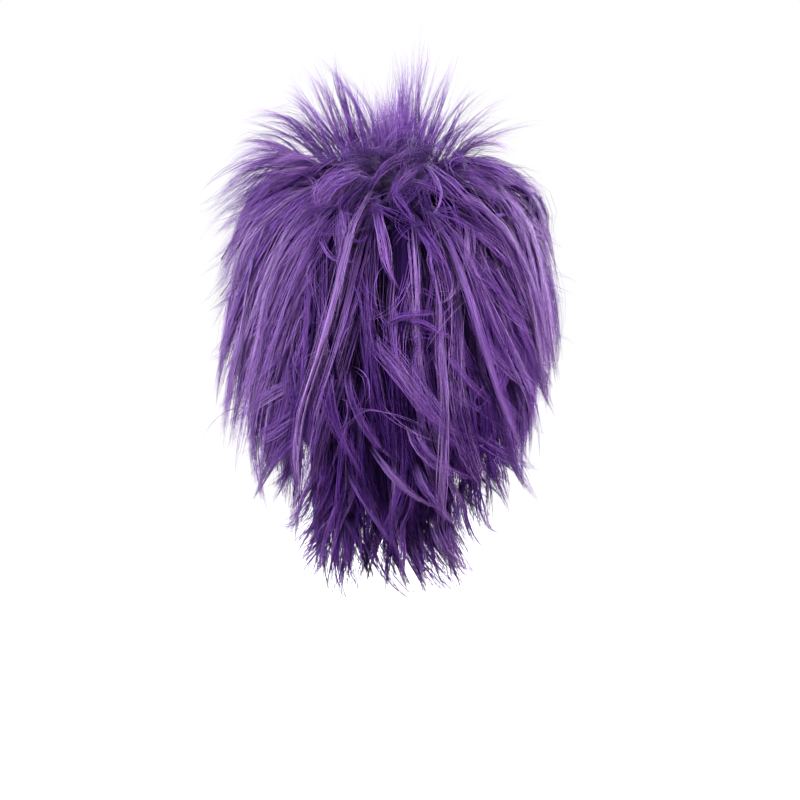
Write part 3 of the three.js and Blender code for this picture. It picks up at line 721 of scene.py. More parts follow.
def more_spikes():
    """Smaller spikes, most of them leaning to the front or back, which the others leave bare."""
    made = []
    for _ in range(MORE_SPIKES):
        forward = chance.random() < FORWARD_SHARE
        azimuth = math.radians((180 if forward else 0) + chance.normal(0, FORWARD_SPREAD))
        lean = math.radians(chance.uniform(0, FURTHEST_LEAN[0 if forward else 1]))
        length = chance.uniform(*MORE_LENGTH) * (1 - LEAN_SHORTER * math.sin(lean))
        tip = (
            length * math.sin(lean) * math.sin(azimuth) * MORE_STRETCH[0],
            length * math.sin(lean) * math.cos(azimuth) * MORE_STRETCH[1],
            length * math.cos(lean) * MORE_STRETCH[2] - MORE_LOWER,
        )
        bow = MORE_BOW[0] + MORE_BOW[1] * math.sin(lean)
        made.append((tip, bow, MORE_STRANDS, MORE_WIDTH))
    return made


def spike_strands(spikes):
    """Strands that start side by side on the crown, and bow up and over to one tip. The ones
    further out start further from the crown's middle."""
    tips, bow, counts, width = (np.array(column, float) for column in zip(*spikes))
    lock, tuft, wisp, loose = divided(counts.astype(int), 2 * WISP_SHARE, 3.0)
    count, tufts = len(lock), len(spikes) * TUFTS
    azimuth = np.degrees(np.arctan2(tips[:, 0], tips[:, 1]))
    flat = np.hypot(tips[:, 0], tips[:, 1]) / 100
    polar = SPIKE_ROOTS[0] + (SPIKE_ROOTS[1] - SPIKE_ROOTS[0]) * np.clip(flat, 0, 1)
    root = head_point(azimuth, polar, np.full(len(spikes), CAP_WALL + SEAT_GAP + 0.5))

    def scatter(amount, own):
        shared = chance.normal(0, amount, (tufts, 3))[tuft]
        return shared + chance.normal(0, own, (count, 3))

    t = np.linspace(0, 1, SPIKE_POINTS)[None, :, None]
    begin = root[lock] + scatter(*SPIKE_ROOT) * width[lock, None]
    # The crown falls away from its middle, and the strands start on it.
    away, root_away = np.hypot(begin[:, 0], begin[:, 1]), np.hypot(root[lock, 0], root[lock, 1])
    begin[:, 2] = root[lock, 2] + (root_away**2 - away**2) / CROWN_ROUND
    finish = tips[lock] + scatter(*SPIKE_TIP) * loose
    middle = root + (tips - root) * BOW_AT
    middle[:, 2] += bow
    middle = middle[lock] + scatter(*SPIKE_MIDDLE) * width[lock, None] * loose
    reach = chance.uniform(*SPIKE_TUFT_REACH, tufts)[tuft]
    reach = reach * chance.uniform(*SPIKE_STRAND_REACH, count)
    s = t * reach[:, None, None]
    paths = (1 - s) ** 2 * begin[:, None] + 2 * s * (1 - s) * middle[:, None]
    paths = paths + s**2 * finish[:, None]
    own = np.arange(count)
    for axis in range(3):
        paths[..., axis] += (
            wave(tuft, SPIKE_POINTS, TUFT_WAVE) + wave(own, SPIKE_POINTS, STRAND_WAVE) * loose
        )
    radii = thickness(count, 0.6, 1.0, wisp)
    of_spike, of_tuft, of_strand = SPIKE_SHADES
    shade = chance.normal(SPIKE_TONE, of_spike, len(spikes))[lock]
    shades = shade + chance.normal(0, of_tuft, tufts)[tuft] + chance.normal(0, of_strand, count)
    # Wisps are made paler with painted light.
    return paths, radii, shades + WISPS_PAINTED_LIGHT * wisp


# Teased hair lies tangled over the crown at the back, in loose curls that follow nothing: how
# many and their strands, how long they are, the azimuth of their middle and how far they lie
# from it, how far down they start, the level that this reaches there, and how much they bend.
TANGLES = 86
TANGLE_STRANDS = 9
TANGLE_POINTS = 8
TANGLE_LENGTH = (24, 58)
TANGLE_AZIMUTH = (-8, 21)
TANGLE_RUN = (0.12, 0.44)
TANGLE_LEVEL = ([0.12, 0.25, 0.44], [0.45, 0.75, 0.95])
TANGLE_BEND = 1.1
TANGLE_LIFT = (0.05, 0.4)
# The lowest curls lie at this share of the level, and the highest so much above them. The deeper one
# lies, the darker it is, as painted shade in the hollows.
LOWEST_TANGLE = 0.6
TANGLE_HEIGHT = 0.42
PALEST_TANGLE = 0.42
# Twice the radius of the head's round, in millimetres.
HEAD_ROUND = 160
# How far a curl's strands wave, in radians, and lie apart, how long the shortest is as a share
# of the longest, and how much the shades of curls and strands differ.
TANGLE_WAVE = 0.14
TANGLE_APART = 1.2
SHORTEST_STRAND = 0.7
TANGLE_SHADES = (0.07, 0.06)


def tangle_strands():
    """Strands of curls that start anywhere on the crown and turn any way."""
    lock = np.repeat(np.arange(TANGLES), TANGLE_STRANDS)
    count = len(lock)
    azimuth = chance.normal(*TANGLE_AZIMUTH, TANGLES)
    run = chance.uniform(*TANGLE_RUN, TANGLES)
    height = chance.uniform(0, 1, TANGLES)
    level = np.interp(run, *TANGLE_LEVEL) * (LOWEST_TANGLE + TANGLE_HEIGHT * height)
    start = hair_point(azimuth, run, level)
    out = start - (HEAD_CENTRE + [0, 0, 30])
    out /= np.linalg.norm(out, axis=1, keepdims=True)
    one = np.cross(out, [0.0, 0.0, 1.0])
    one /= np.linalg.norm(one, axis=1, keepdims=True)
    two = np.cross(out, one)
    t = np.linspace(0, 1, TANGLE_POINTS)[None, :]
    begin = chance.uniform(0, 2 * np.pi, TANGLES)
    bend = chance.normal(0, TANGLE_BEND, TANGLES)
    length = chance.uniform(*TANGLE_LENGTH, TANGLES)
    lift = chance.uniform(*TANGLE_LIFT, TANGLES)
    angle = begin[lock][:, None] + bend[lock][:, None] * t
    angle = (angle + wave(np.arange(count), TANGLE_POINTS, TANGLE_WAVE))[..., None]
    one, two, out = (axis[lock][:, None] for axis in (one, two, out))
    heading = np.cos(angle) * one + np.sin(angle) * two
    heading = heading + (lift[lock][:, None] * np.cos(np.pi * t))[..., None] * out
    step = length[lock] * chance.uniform(SHORTEST_STRAND, 1, count) / (TANGLE_POINTS - 1)
    gone = np.cumsum(heading, 1) * step[:, None, None]
    apart = chance.normal(0, TANGLE_APART, (count, 3))
    # A curl follows the head's round.
    sink = np.sum(gone**2, 2, keepdims=True) / HEAD_ROUND * out
    paths = start[lock][:, None] + apart[:, None] + gone - sink
    radii = thickness(count, 0.6, 1.1)
    # Painted shade: the deeper a curl lies, the darker it is.
    shades = (PALEST_TANGLE * height + chance.normal(0, TANGLE_SHADES[0], TANGLES))[lock]
    return paths, radii, shades + chance.normal(0, TANGLE_SHADES[1], count)


# Locks that lie loose over the others and show one by one from behind: strands, how wide the
# lock is, and the points it goes through, across and up. They lie on the hair's outside.
LOOSE_LOCKS = {
    "crown_weft": [
        (40, 9, [(14, 8), (26, 4), (37, -1), (42, -7), (43, -14), (38, -21)]),
        (11, 3, [(38, 3), (35, -3), (26, -1), (16, 6)]),
        (46, 8, [(29, -1), (43, -9), (64, -24), (81, -33), (92, -38)]),
        (46, 8, [(32, -13), (50, -29), (66, -48), (81, -61)]),
        (9, 2, [(40, -24), (40, -35), (35, -45), (29, -48), (18, -48)]),
        (8, 2, [(26, -28), (23, -35), (18, -37), (11, -31)]),
        (26, 6, [(10, -7), (7, -32), (2, -53), (-6, -66)]),
        (33, 6, [(32, -9), (30, -25), (29, -44), (32, -63)]),
        (22, 4, [(-39, -13), (-45, -28), (-45, -42), (-42, -58), (-34, -70), (-24, -74)]),
        (29, 5, [(-9, -16), (-19, -34), (-29, -48), (-35, -60), (-32, -70)]),
        (22, 5, [(-33, 1), (-47, 2), (-58, -4), (-61, -12), (-55, -20)]),
        (8, 2, [(-48, -22), (-61, -20), (-72, -19), (-86, -13)]),
        (37, 7, [(-36, -17), (-46, -27), (-60, -37), (-71, -48), (-84, -55), (-99, -52)]),
        (20, 4, [(-61, -7), (-73, -18), (-83, -38), (-89, -46), (-99, -51)]),
        (16, 3, [(-35, -45), (-45, -54), (-57, -61), (-71, -69)]),
        (13, 3, [(-17, 11), (-25, -1), (-27, -13), (-22, -24)]),
        (13, 3, [(-6, 6), (-2, -7), (-9, -19), (-17, -29)]),
    ],
    "mid_back_weft": [
        (17, 4, [(11, -90), (2, -84), (-6, -81), (-17, -79), (-30, -78)]),
        (20, 4, [(0, -79), (-7, -81), (-17, -83), (-29, -89), (-41, -96)]),
        (16, 3, [(-41, -65), (-45, -82), (-54, -95), (-67, -104), (-84, -110)]),
        (17, 3, [(-24, -85), (-32, -102), (-42, -115), (-55, -128), (-74, -142)]),
        (33, 6, [(-60, -65), (-64, -85), (-66, -107), (-59, -126), (-43, -141)]),
        (40, 7, [(19, -71), (16, -87), (5, -100), (-6, -112), (-16, -127), (-32, -144), (-61, -154)]),
        (33, 6, [(-8, -102), (-20, -128), (-37, -151), (-56, -168)]),
        (33, 7, [(40, -90), (37, -118), (30, -146), (12, -179)]),
        (26, 5, [(-9, -131), (-16, -152), (-33, -168), (-53, -177)]),
        (20, 4, [(26, -96), (24, -121), (16, -140), (5, -158), (-7, -166)]),
        (24, 5, [(57, -90), (61, -115), (57, -140), (51, -158)]),
    ],
    "lower_back_weft": [
        (38, 10, [(-42, -96), (-50, -125), (-56, -150), (-62, -178)]),
        (32, 9, [(-52, -108), (-57, -138), (-60, -164), (-61, -190)]),
        (32, 9, [(-34, -108), (-42, -140), (-48, -168), (-52, -194)]),
        (34, 10, [(48, -96), (56, -125), (60, -150), (65, -178)]),
        (30, 9, [(38, -108), (46, -140), (52, -168), (56, -192)]),
    ],
    "nape_weft": [
        (28, 7, [(-30, -190), (-36, -215), (-44, -234), (-57, -246)]),
        (28, 7, [(-18, -200), (-26, -226), (-36, -242), (-51, -253)]),
        (29, 6, [(43, -177), (47, -193), (57, -204), (69, -208), (80, -207)]),
        (26, 5, [(40, -193), (46, -209), (55, -219), (66, -227)]),
        (29, 6, [(37, -195), (42, -211), (52, -225), (61, -237)]),
        (26, 6, [(35, -208), (42, -225), (50, -239), (53, -250)]),
        (31, 6, [(30, -195), (32, -220), (30, -240), (25, -254), (19, -263)]),
        (29, 6, [(25, -195), (22, -226), (18, -245), (10, -256)]),
        (34, 7, [(17, -202), (7, -226), (-7, -245), (-26, -255)]),
        (26, 5, [(-6, -195), (-7, -220), (-7, -236), (-9, -249)]),
        (29, 6, [(-11, -208), (-19, -231), (-30, -242), (-46, -247)]),
        (29, 6, [(-22, -195), (-30, -219), (-42, -231), (-57, -236)]),
        (34, 7, [(-40, -177), (-46, -203), (-55, -219), (-64, -226)]),
        (26, 5, [(-45, -164), (-50, -193), (-58, -208), (-73, -217)]),
        (29, 5, [(-63, -133), (-71, -156), (-81, -178), (-94, -199)]),
        (26, 5, [(-58, -146), (-63, -168), (-69, -187), (-74, -200)]),
        (31, 3, [(15, -152), (2, -169), (-14, -185), (-33, -195)]),
        (31, 4, [(-11, -158), (-17, -177), (-27, -193), (-45, -209)]),
        (21, 3, [(29, -164), (17, -188), (5, -206), (-7, -221)]),
    ],
}
# Tips that stand out past the outline, across and up: first the wearer's left, then the right.
FLICKED_TIPS = [
    (104, 4), (106, -8), (112, -22), (110, -36), (113, -50), (108, -64), (112, -78),
    (106, -92), (111, -108), (106, -122), (109, -138), (103, -150), (94, -166), (86, -182),
    (-94, -8), (-104, -40), (-107, -74), (-105, -116), (-98, -136), (-94, -176),
]  # fmt: skip
# From where such a lock comes, inwards and up from its tip, at two places, how much the places
# differ, and the highest that it starts.
FLICK_START = (50, 44)
FLICK_MIDDLE = (22, 15)
FLICK_VARIES = 0.22
HIGHEST_FLICK = 14
FLICK_STRANDS = 26
FLICK_WIDTH = 6
# The lower locks at the back are darker than the other loose ones, as painted shade.
LOOSE_TONE = 0.56
LOOSE_TONES = {"lower_back_weft": 0.3}
LOOSE_POINTS = 9
# A loose lock's width along it, as shares.
LOOSE_TAPER = ([0, 0.3, 0.7, 1], [0.8, 1.0, 0.8, 0.16])
# How far in a loose lock starts, as a share of the hair's outside, and where it has come out.
LOOSE_SUNK = 0.86
SUNK_UNTIL = 0.35
# How far in all of it lies, by height, and how much deeper at the middle of the back, as a
# share, and how wide that middle is.
LOOSE_SUNK_BY_HEIGHT = ([-250, -190, -120, -60, -20, 20], [0.9, 0.96, 0.985, 0.975, 0.96, 0.87])
MIDDLE_SUNK = 0.025
MIDDLE_WIDTH = 42
# Past the outline at the sides, loose hair lies at least this far behind, as a share squared.
LEAST_BEHIND = 0.15
# Single hairs over the back: how many, how long, between where across and up they start, and
# how far they turn from straight down and bend, in radians.
STRAYS = 80
STRAY_LENGTH = (30, 75)
STRAY_ACROSS = (-72, 78)
STRAY_UP = (-150, 6)
STRAY_TURNS = 0.7
STRAY_BENDS = 0.9
# Hairs past the outline, at the wearer's left and right: how many locks, how far out their
# tips are, how high, and how far inwards and up they start.
FLYAWAYS = (18, 10)
FLYAWAY_REACH = ((108, 122), (96, 113))
FLYAWAY_UP = (-165, 0)
FLYAWAY_START = ((34, 60), (20, 46))
# Below this the outline draws in, by so much.
OUTLINE_NARROWS = -110
NARROWING = 0.35


def flicked_rows():
    """Rows like the loose locks' for the tips that stand out past the outline."""
    rows = []
    for across, up in FLICKED_TIPS:
        side = math.copysign(1, across)
        points = []
        for inwards, upwards in (FLICK_START, FLICK_MIDDLE, (0, 0)):
            vary = chance.uniform(1 - FLICK_VARIES, 1 + FLICK_VARIES, 2)
            height = min(up + upwards * vary[1], HIGHEST_FLICK)
            points.append((across - side * inwards * vary[0], height))
        rows.append((FLICK_STRANDS, FLICK_WIDTH, points))
    return rows


def flyaway_rows():
    """Rows for thin tips further out than the flicked ones."""
    rows = []
    for side, count, reach in zip((1, -1), FLYAWAYS, FLYAWAY_REACH):
        for _ in range(count):
            up = chance.uniform(*FLYAWAY_UP)
            across = chance.uniform(*reach) - NARROWING * max(0, OUTLINE_NARROWS - up)
            inwards, upwards = (chance.uniform(*start) for start in FLYAWAY_START)
            points = [
                (side * (across - inwards), min(up + upwards, HIGHEST_FLICK)),
                (side * (across - 0.45 * inwards), up + 0.36 * upwards),
                (side * across, up),
            ]
            rows.append((6, 5, points))
    return rows


def stray_rows():
    """Rows for single hairs that cross the others on the back."""
    rows = []
    for _ in range(STRAYS):
        place = np.array([chance.uniform(*STRAY_ACROSS), chance.uniform(*STRAY_UP)])
        heading = chance.normal(-math.pi / 2, STRAY_TURNS)
        bend = chance.normal(0, STRAY_BENDS)
        step = chance.uniform(*STRAY_LENGTH) / 3
        points = [tuple(place)]
        for turn in (-bend, 0, bend):
            place = place + step * np.array([math.cos(heading + turn), math.sin(heading + turn)])
            points.append(tuple(place))
        rows.append((2, 3, points))
    return rows


def smooth_lines(rows):
    """Each row's points on a smooth curve, taken at even shares of its length."""
    t = np.linspace(0, 1, LOOSE_POINTS)
    lines = []
    for _, _, points in rows:
        steps = np.linalg.norm(np.diff(np.array(points, float), axis=0), axis=1)
        reached = np.concatenate([[0], np.cumsum(steps)]) / steps.sum()
        table = np.column_stack([reached, points])
        lines.append(np.stack([curve(table, 1, t), curve(table, 2, t)], -1))
    return np.array(lines)


def onto_outside(flat, sunk):
    """Places across and up, as seen from behind, set onto the hair's outside or sunk in it."""
    runs = np.linspace(0, 2, 200)
    heights = TOP_DEPTH - (TOP_DEPTH + HAIR_DROP) * curve(OUTSIDE, 2, runs)
    run = np.interp(-flat[..., 1], -heights, runs)
    sunk = sunk * np.interp(flat[..., 1], *LOOSE_SUNK_BY_HEIGHT)
    sunk = sunk * (1 - MIDDLE_SUNK * np.exp(-((flat[..., 0] / MIDDLE_WIDTH) ** 2)))
    reached = curve(OUTSIDE, 1, run) * sunk
    aside = flat[..., 0] / (reached * (HEAD_HALF[0] + SIDE_DEPTH))
    behind = np.sqrt(np.maximum(1 - aside**2, LEAST_BEHIND))
    depth = reached * (HEAD_HALF[1] + BACK_DEPTH) * behind
    return np.stack([flat[..., 0], depth, flat[..., 1]], -1)


def loose_strands(rows, tone=LOOSE_TONE):
    """Strands through the rows' points, each point set back onto the outside of the hair."""
    lock = np.repeat(np.arange(len(rows)), [row[0] for row in rows])
    count = len(lock)
    t = np.linspace(0, 1, LOOSE_POINTS)
    lines = smooth_lines(rows)
    along = np.gradient(lines, axis=1)
    along /= np.linalg.norm(along, axis=2, keepdims=True)
    across = np.stack([along[..., 1], -along[..., 0]], -1)
    width = np.array([row[1] for row in rows], float)[lock][:, None]
    taper = np.interp(t, *LOOSE_TAPER)[None, :]
    tuft = tuft_of(lock)
    aside = chance.uniform(-0.6, 0.6, len(rows) * TUFTS)[tuft] + chance.normal(0, 0.16, count)
    aside = aside[:, None] + wave(tuft, LOOSE_POINTS, 0.3)
    aside = aside + wave(np.arange(count), LOOSE_POINTS, 0.2)
    # Each strand goes some share of its line, between the line's points.
    reach = chance.uniform(0.8, 1.0, count)[:, None]
    place = np.clip(t[None, :] * reach, 0, 1) * (LOOSE_POINTS - 1)
    low = np.minimum(place.astype(int), LOOSE_POINTS - 2)
    part = (place - low)[..., None]
    at = lock[:, None]
    flat = lines[at, low] * (1 - part) + lines[at, low + 1] * part
    flat = flat + across[at, low] * (aside * width * taper)[..., None]
    sunk = np.interp(t, [0, SUNK_UNTIL], [LOOSE_SUNK, 1.0])[None, :]
    paths = onto_outside(flat, sunk + chance.normal(0, 0.008, (count, 1)))
    radii = thickness(count, 0.6, 1.0)
    shades = chance.normal(tone, 0.1, len(rows))[lock] + chance.normal(0, 0.08, count)
    return paths, radii, shades


# Materials


def linear(red, green, blue):
    """Colour from its screen values of 0 to 255."""
    shares = (np.array([red, green, blue]) / 255) ** 2.2
    return (*shares.tolist(), 1.0)


# Painted shade along each strand: darkest at the root, where the hair shades itself, and next to none
# at the tip.
ROOT_PAINTED_SHADE = linear(62, 54, 92)
MIDWAY_PAINTED_SHADE = linear(204, 196, 218)
TIP_PAINTED_SHADE = linear(255, 250, 255)
# Cores are painted shade, near black, standing for the shade deep in the hair.
CORE_PAINTED_SHADE = linear(14, 8, 20)
DEEP_HAIR = linear(32, 17, 47)
DARK_HAIR = linear(60, 30, 108)
MID_HAIR = linear(125, 77, 170)
PALE_HAIR = linear(188, 152, 214)
GLOSS_TINT = (0.8, 0.5, 0.9, 1.0)
# Hue and roughness differ a little from shade to shade: the least, and how much more at most.
# Cores are rougher.
HUES = (0.494, 0.012)
ROUGHNESSES = (0.34, 0.12)
CORE_ROUGHER = 0.3
NET_COLOUR = linear(40, 26, 40)
NET_CORD = linear(68, 47, 58)
BINDING_COLOUR = linear(48, 34, 58)
BINDING_THREAD = linear(86, 66, 100)
TRACK_COLOUR = linear(50, 30, 78)
TRACK_THREAD = linear(106, 74, 140)
BACKING_COLOUR = linear(42, 24, 70)
BACKING_THREAD = linear(74, 46, 110)


class Graph:
    """A material and short ways to add its nodes."""

    def __init__(self, name):
        self.material = bpy.data.materials.new(name)
        self.material.use_nodes = True
        self.tree = self.material.node_tree
        self.shader = self.tree.nodes["Principled BSDF"]
        self.output = self.tree.nodes["Material Output"]

    def node(self, kind, **settings):
        made = self.tree.nodes.new(kind)
        for key, value in settings.items():
            setattr(made, key, value)
        return made

    def link(self, source, target):
        self.tree.links.new(source, target)

    def map_axes(self, name):
        """The two places on the piece's map of that name."""
        place = self.node("ShaderNodeUVMap", uv_map=name)
        axes = self.node("ShaderNodeSeparateXYZ")
        self.link(place.outputs[0], axes.inputs[0])
        return axes.outputs["X"], axes.outputs["Y"]

    def noise(self, source, steps):
        """A random value for each of so many steps along the source."""
        made = self.node("ShaderNodeTexWhiteNoise", noise_dimensions="1D")
        self.link(self.maths("FLOOR", self.maths("MULTIPLY", source, steps)), made.inputs["W"])
        return made.outputs["Value"]

    def maths(self, operation, first, second=None):
        made = self.node("ShaderNodeMath", operation=operation)
        for socket, value in zip(made.inputs, (first, second)):
            if isinstance(value, (int, float)):
                socket.default_value = float(value)
            elif value is not None:
                self.link(value, socket)
        return made.outputs[0]

    def ramp(self, source, stops):
        made = self.node("ShaderNodeValToRGB")
        elements = made.color_ramp.elements
        while len(elements) < len(stops):
            elements.new(0.5)
        for element, (place, colour) in zip(elements, stops):
            element.position = place
            element.color = colour
        self.link(source, made.inputs[0])
        return made.outputs["Color"]

    def mix(self, blend, share, first, second):
        made = self.node("ShaderNodeMix", data_type="RGBA", blend_type=blend)
        made.inputs["Factor"].default_value = share
        for socket, value in ((made.inputs["A"], first), (made.inputs["B"], second)):
            if isinstance(value, tuple):
                socket.default_value = value
            else:
                self.link(value, socket)
        return made.outputs["Result"]


def hair_material(name, gloss, through_share, deepest):
    """Hair, darkest at the root with painted shade, each strand in its own shade. Cores are deep and
    streaked, as painted shade.
    """
    graph = Graph(name)
    across, length = graph.map_axes(BAKE_MAP)
    in_core = graph.maths("GREATER_THAN", across, CORE_MAP)
    # Cores get painted shade: dark streaks from near black.
    painted_core_shade = graph.maths("MULTIPLY", graph.noise(across, CORE_STREAKS), PALEST_PAINTED_CORE_SHADE)
    strand_shade = graph.maths("DIVIDE", across, CORE_MAP)
    picked = graph.node("ShaderNodeMix", data_type="FLOAT")
    for socket, source in (("Factor", in_core), ("A", strand_shade), ("B", painted_core_shade)):
        graph.link(source, picked.inputs[socket])
    shade = picked.outputs["Result"]
    tones = [(0.0, deepest), (0.13, DARK_HAIR), (0.5, MID_HAIR), (0.95, PALE_HAIR)]
    tone = graph.ramp(shade, tones)
    # Painted shade that darkens each strand towards its root.
    root_painted_shade = graph.ramp(length, [(0.02, ROOT_PAINTED_SHADE), (0.42, MIDWAY_PAINTED_SHADE), (0.9, TIP_PAINTED_SHADE)])
    colour = graph.mix("MULTIPLY", 1.0, tone, root_painted_shade)
    speckle = graph.noise(shade, SHADES)
    hue = graph.node("ShaderNodeHueSaturation")
    shift = graph.maths("ADD", graph.maths("MULTIPLY", speckle, HUES[1]), HUES[0])
    graph.link(shift, hue.inputs["Hue"])
    graph.link(colour, hue.inputs["Color"])
    graph.link(hue.outputs[0], graph.shader.inputs["Base Color"])
    rougher = graph.maths("MULTIPLY", speckle, ROUGHNESSES[1])
    rough = graph.maths("ADD", rougher, ROUGHNESSES[0])
    rough = graph.maths("ADD", rough, graph.maths("MULTIPLY", in_core, CORE_ROUGHER))
    graph.link(rough, graph.shader.inputs["Roughness"])
    graph.shader.inputs["Specular IOR Level"].default_value = gloss
    graph.shader.inputs["Specular Tint"].default_value = GLOSS_TINT
    through = graph.node("ShaderNodeBsdfTranslucent")
    graph.link(hue.outputs[0], through.inputs["Color"])
    both = graph.node("ShaderNodeMixShader")
    both.inputs[0].default_value = through_share
    graph.link(graph.shader.outputs[0], both.inputs[1])
    graph.link(through.outputs[0], both.inputs[2])
    graph.link(both.outputs[0], graph.output.inputs["Surface"])
    return graph.material


# How sharply cords stand up and how high, and how fine the flecks of a cloth are.
CORD_SHARPNESS = 3.0
CORD_RELIEF = 0.4
FLECKS = 90.0


def cloth_material(name, ground, cord, across, down, rough):
    """A woven or knotted cloth: cords cross at right angles on the piece's own map, so many
    across and down each unit of it."""
    graph = Graph(name)
    along, over = graph.map_axes("Cloth")

    def ridges(source, count):
        turn = graph.maths("MULTIPLY", source, 2 * math.pi * count)
        wide = graph.maths("ABSOLUTE", graph.maths("COSINE", turn))
        return graph.maths("POWER", wide, CORD_SHARPNESS)

    weave = graph.maths("MAXIMUM", ridges(along, across), ridges(over, down))
    noise = graph.node("ShaderNodeTexNoise")
    noise.inputs["Scale"].default_value = FLECKS
    noise.inputs["Detail"].default_value = 4.0
    share = graph.maths("MULTIPLY", weave, graph.maths("ADD", noise.outputs["Fac"], 0.3))
    colour = graph.ramp(share, [(0.05, ground), (0.9, cord)])
    graph.link(colour, graph.shader.inputs["Base Color"])
    graph.shader.inputs["Roughness"].default_value = rough
    graph.shader.inputs["Sheen Weight"].default_value = 0.2
    bump = graph.node("ShaderNodeBump")
    bump.inputs["Strength"].default_value = 0.6
    bump.inputs["Distance"].default_value = CORD_RELIEF * MM
    graph.link(weave, bump.inputs["Height"])
    graph.link(bump.outputs[0], graph.shader.inputs["Normal"])
    return graph.material


# Cap, tracks and bound edge

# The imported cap's cells: how many round it, and its rows from the crown, where 1 is the first
# bend of its shape and 2 its edge. The slots are in these rows, in all but every third column
# of those nearest the nape. Each cell is cut finer here.
CAP_COLUMNS = 32
CROWN_POLAR = 26.0
CAP_ROWS = [0, 0.5, 1, 1.12, 1.28, 1.45, 1.53, 1.63, 1.71, 1.81, 1.88, 2]
SLOT_ROWS = (5, 7, 9)
SLOT_COLUMNS = 5
BAR_EVERY = 3
FINER = 3


def cap_piece():
    """The net cap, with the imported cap's cells each cut finer, and its slots left open."""
    columns = CAP_COLUMNS * FINER
    steps = np.arange((len(CAP_ROWS) - 1) * FINER + 1) / FINER
    rows = np.interp(steps, range(len(CAP_ROWS)), CAP_ROWS)
    azimuth = (360 / CAP_COLUMNS) * (np.arange(columns) / FINER - 0.5)
    edge = curve(EDGE, 1, folded(azimuth))
    down = CROWN_POLAR * np.minimum(rows, 1)[:, None]
    polar = down + (edge[None, :] - down) * np.clip(rows - 1, 0, None)[:, None]
    grid = [head_point(azimuth[None, :], polar, np.full(polar.shape, o)) for o in (0.0, CAP_WALL)]
    points = np.concatenate([g.reshape(-1, 3) for g in grid])

    def number(wall, row, column):
        # All the points of the first row are one point at the crown.
        return wall * polar.size + (0 if row == 0 else row * columns + column % columns)

    def is_open(row, column):
        cell, way = row // FINER, (column % columns) // FINER
        from_nape = min(way, CAP_COLUMNS - way)
        return cell in SLOT_ROWS and from_nape <= SLOT_COLUMNS and from_nape % BAR_EVERY != 0

    def solid(row, column):
        return 0 <= row < len(rows) - 1 and not is_open(row, column)

    faces, places = [], []

    def add(corners):
        """One face, without a corner that repeats at the crown."""
        kept = []
        for corner in corners:
            if number(*corner) not in [number(*k) for k in kept]:
                kept.append(corner)
        faces.append([number(*corner) for corner in kept])
        places.extend(((k[2] / columns) * 3.0, rows[k[1]] * 0.5) for k in kept)

    for row in range(len(rows) - 1):
        for column in range(columns):
            if not solid(row, column):
                continue
            loop = [(row, column), (row, column + 1), (row + 1, column + 1), (row + 1, column)]
            add([(1, *corner) for corner in loop])
            add([(0, *corner) for corner in reversed(loop)])
            beside = [
                (loop[0], loop[1], row == 0 or solid(row - 1, column)),
                (loop[1], loop[2], solid(row, column + 1)),
                (loop[2], loop[3], solid(row + 1, column)),
                (loop[3], loop[0], solid(row, column - 1)),
            ]
            for a, b, shut in beside:
                if not shut:
                    add([(0, *a), (0, *b), (1, *b), (1, *a)])
    used = np.unique(np.concatenate([np.array(face) for face in faces]))
    renumber = np.zeros(len(points), int)
    renumber[used] = np.arange(len(used))
    faces = [renumber[np.array(face)] for face in faces]
    return new_mesh("cap_net", points[used], faces, {"Cloth": np.array(places)})


def swept(name, rings, closed, cloth_scale):
    """A closed body through rings of points, with the piece's cloth map along and round it."""
    rings = np.asarray(rings)
    count, per, _ = rings.shape
    faces, places = [], []
    for k in range(count if closed else count - 1):
        for i in range(per):
            j, after = (i + 1) % per, (k + 1) % count
            faces.append([k * per + i, k * per + j, after * per + j, after * per + i])
            places += [(k, i), (k, i + 1), (k + 1, i + 1), (k + 1, i)]
    if not closed:
        faces.append(list(range(per))[::-1])
        faces.append([(count - 1) * per + i for i in range(per)])
        places += [(0, i) for i in range(per)][::-1] + [(count, i) for i in range(per)]
    scale = np.array(cloth_scale)
    return new_mesh(name, rings.reshape(-1, 3), faces, {"Cloth": np.array(places) * scale})


BINDING_STEPS = 224
# How far the binding laps over the cap's edge.
BINDING_LAP = 1.2
# How loosely its slot holds the edge.
BINDING_SLACK = 0.15


def binding_piece():
    """The folded tape that binds the edge of the cap all round."""
    azimuth = np.arange(BINDING_STEPS) * 360 / BINDING_STEPS
    middle = CAP_WALL / 2

    def edge(turn, offset):
        return head_point(turn, curve(EDGE, 1, folded(turn)), np.full(len(turn), offset))

    line = edge(azimuth, middle)
    out = edge(azimuth, middle + 1) - line
    along = edge(azimuth + 1, middle) - edge(azimuth - 1, middle)
    down = np.cross(along, out)
    down /= np.linalg.norm(down, axis=1, keepdims=True)
    down *= np.sign(-down[:, 2:3])
    # Its section goes down the outside, up the inside and back through the slot that holds
    # the cap's edge.
    thick, slot = BAND_THICKNESS / 2, CAP_WALL / 2 + BINDING_SLACK
    bottom = BINDING_LAP + BAND_WIDTH
    section = [
        (-BINDING_LAP, thick - 0.3), (-BINDING_LAP + 0.8, thick), (bottom - 2.2, thick),
        (bottom - 0.5, 0.8), (bottom, 0.0), (bottom - 0.5, -0.8), (bottom - 2.2, -thick),
        (-BINDING_LAP + 0.8, -thick), (-BINDING_LAP, 0.3 - thick), (-BINDING_LAP, -slot),
        (0.4, -slot), (0.4, slot), (-BINDING_LAP, slot),
    ]  # fmt: skip
    deep, wide = np.array(section).T
    rings = (
        line[:, None]
        + down[:, None] * deep[None, :, None]
        + out[:, None] * wide[None, :, None]
    )
    return swept("edge_binding", rings, True, (0.25, 0.125))


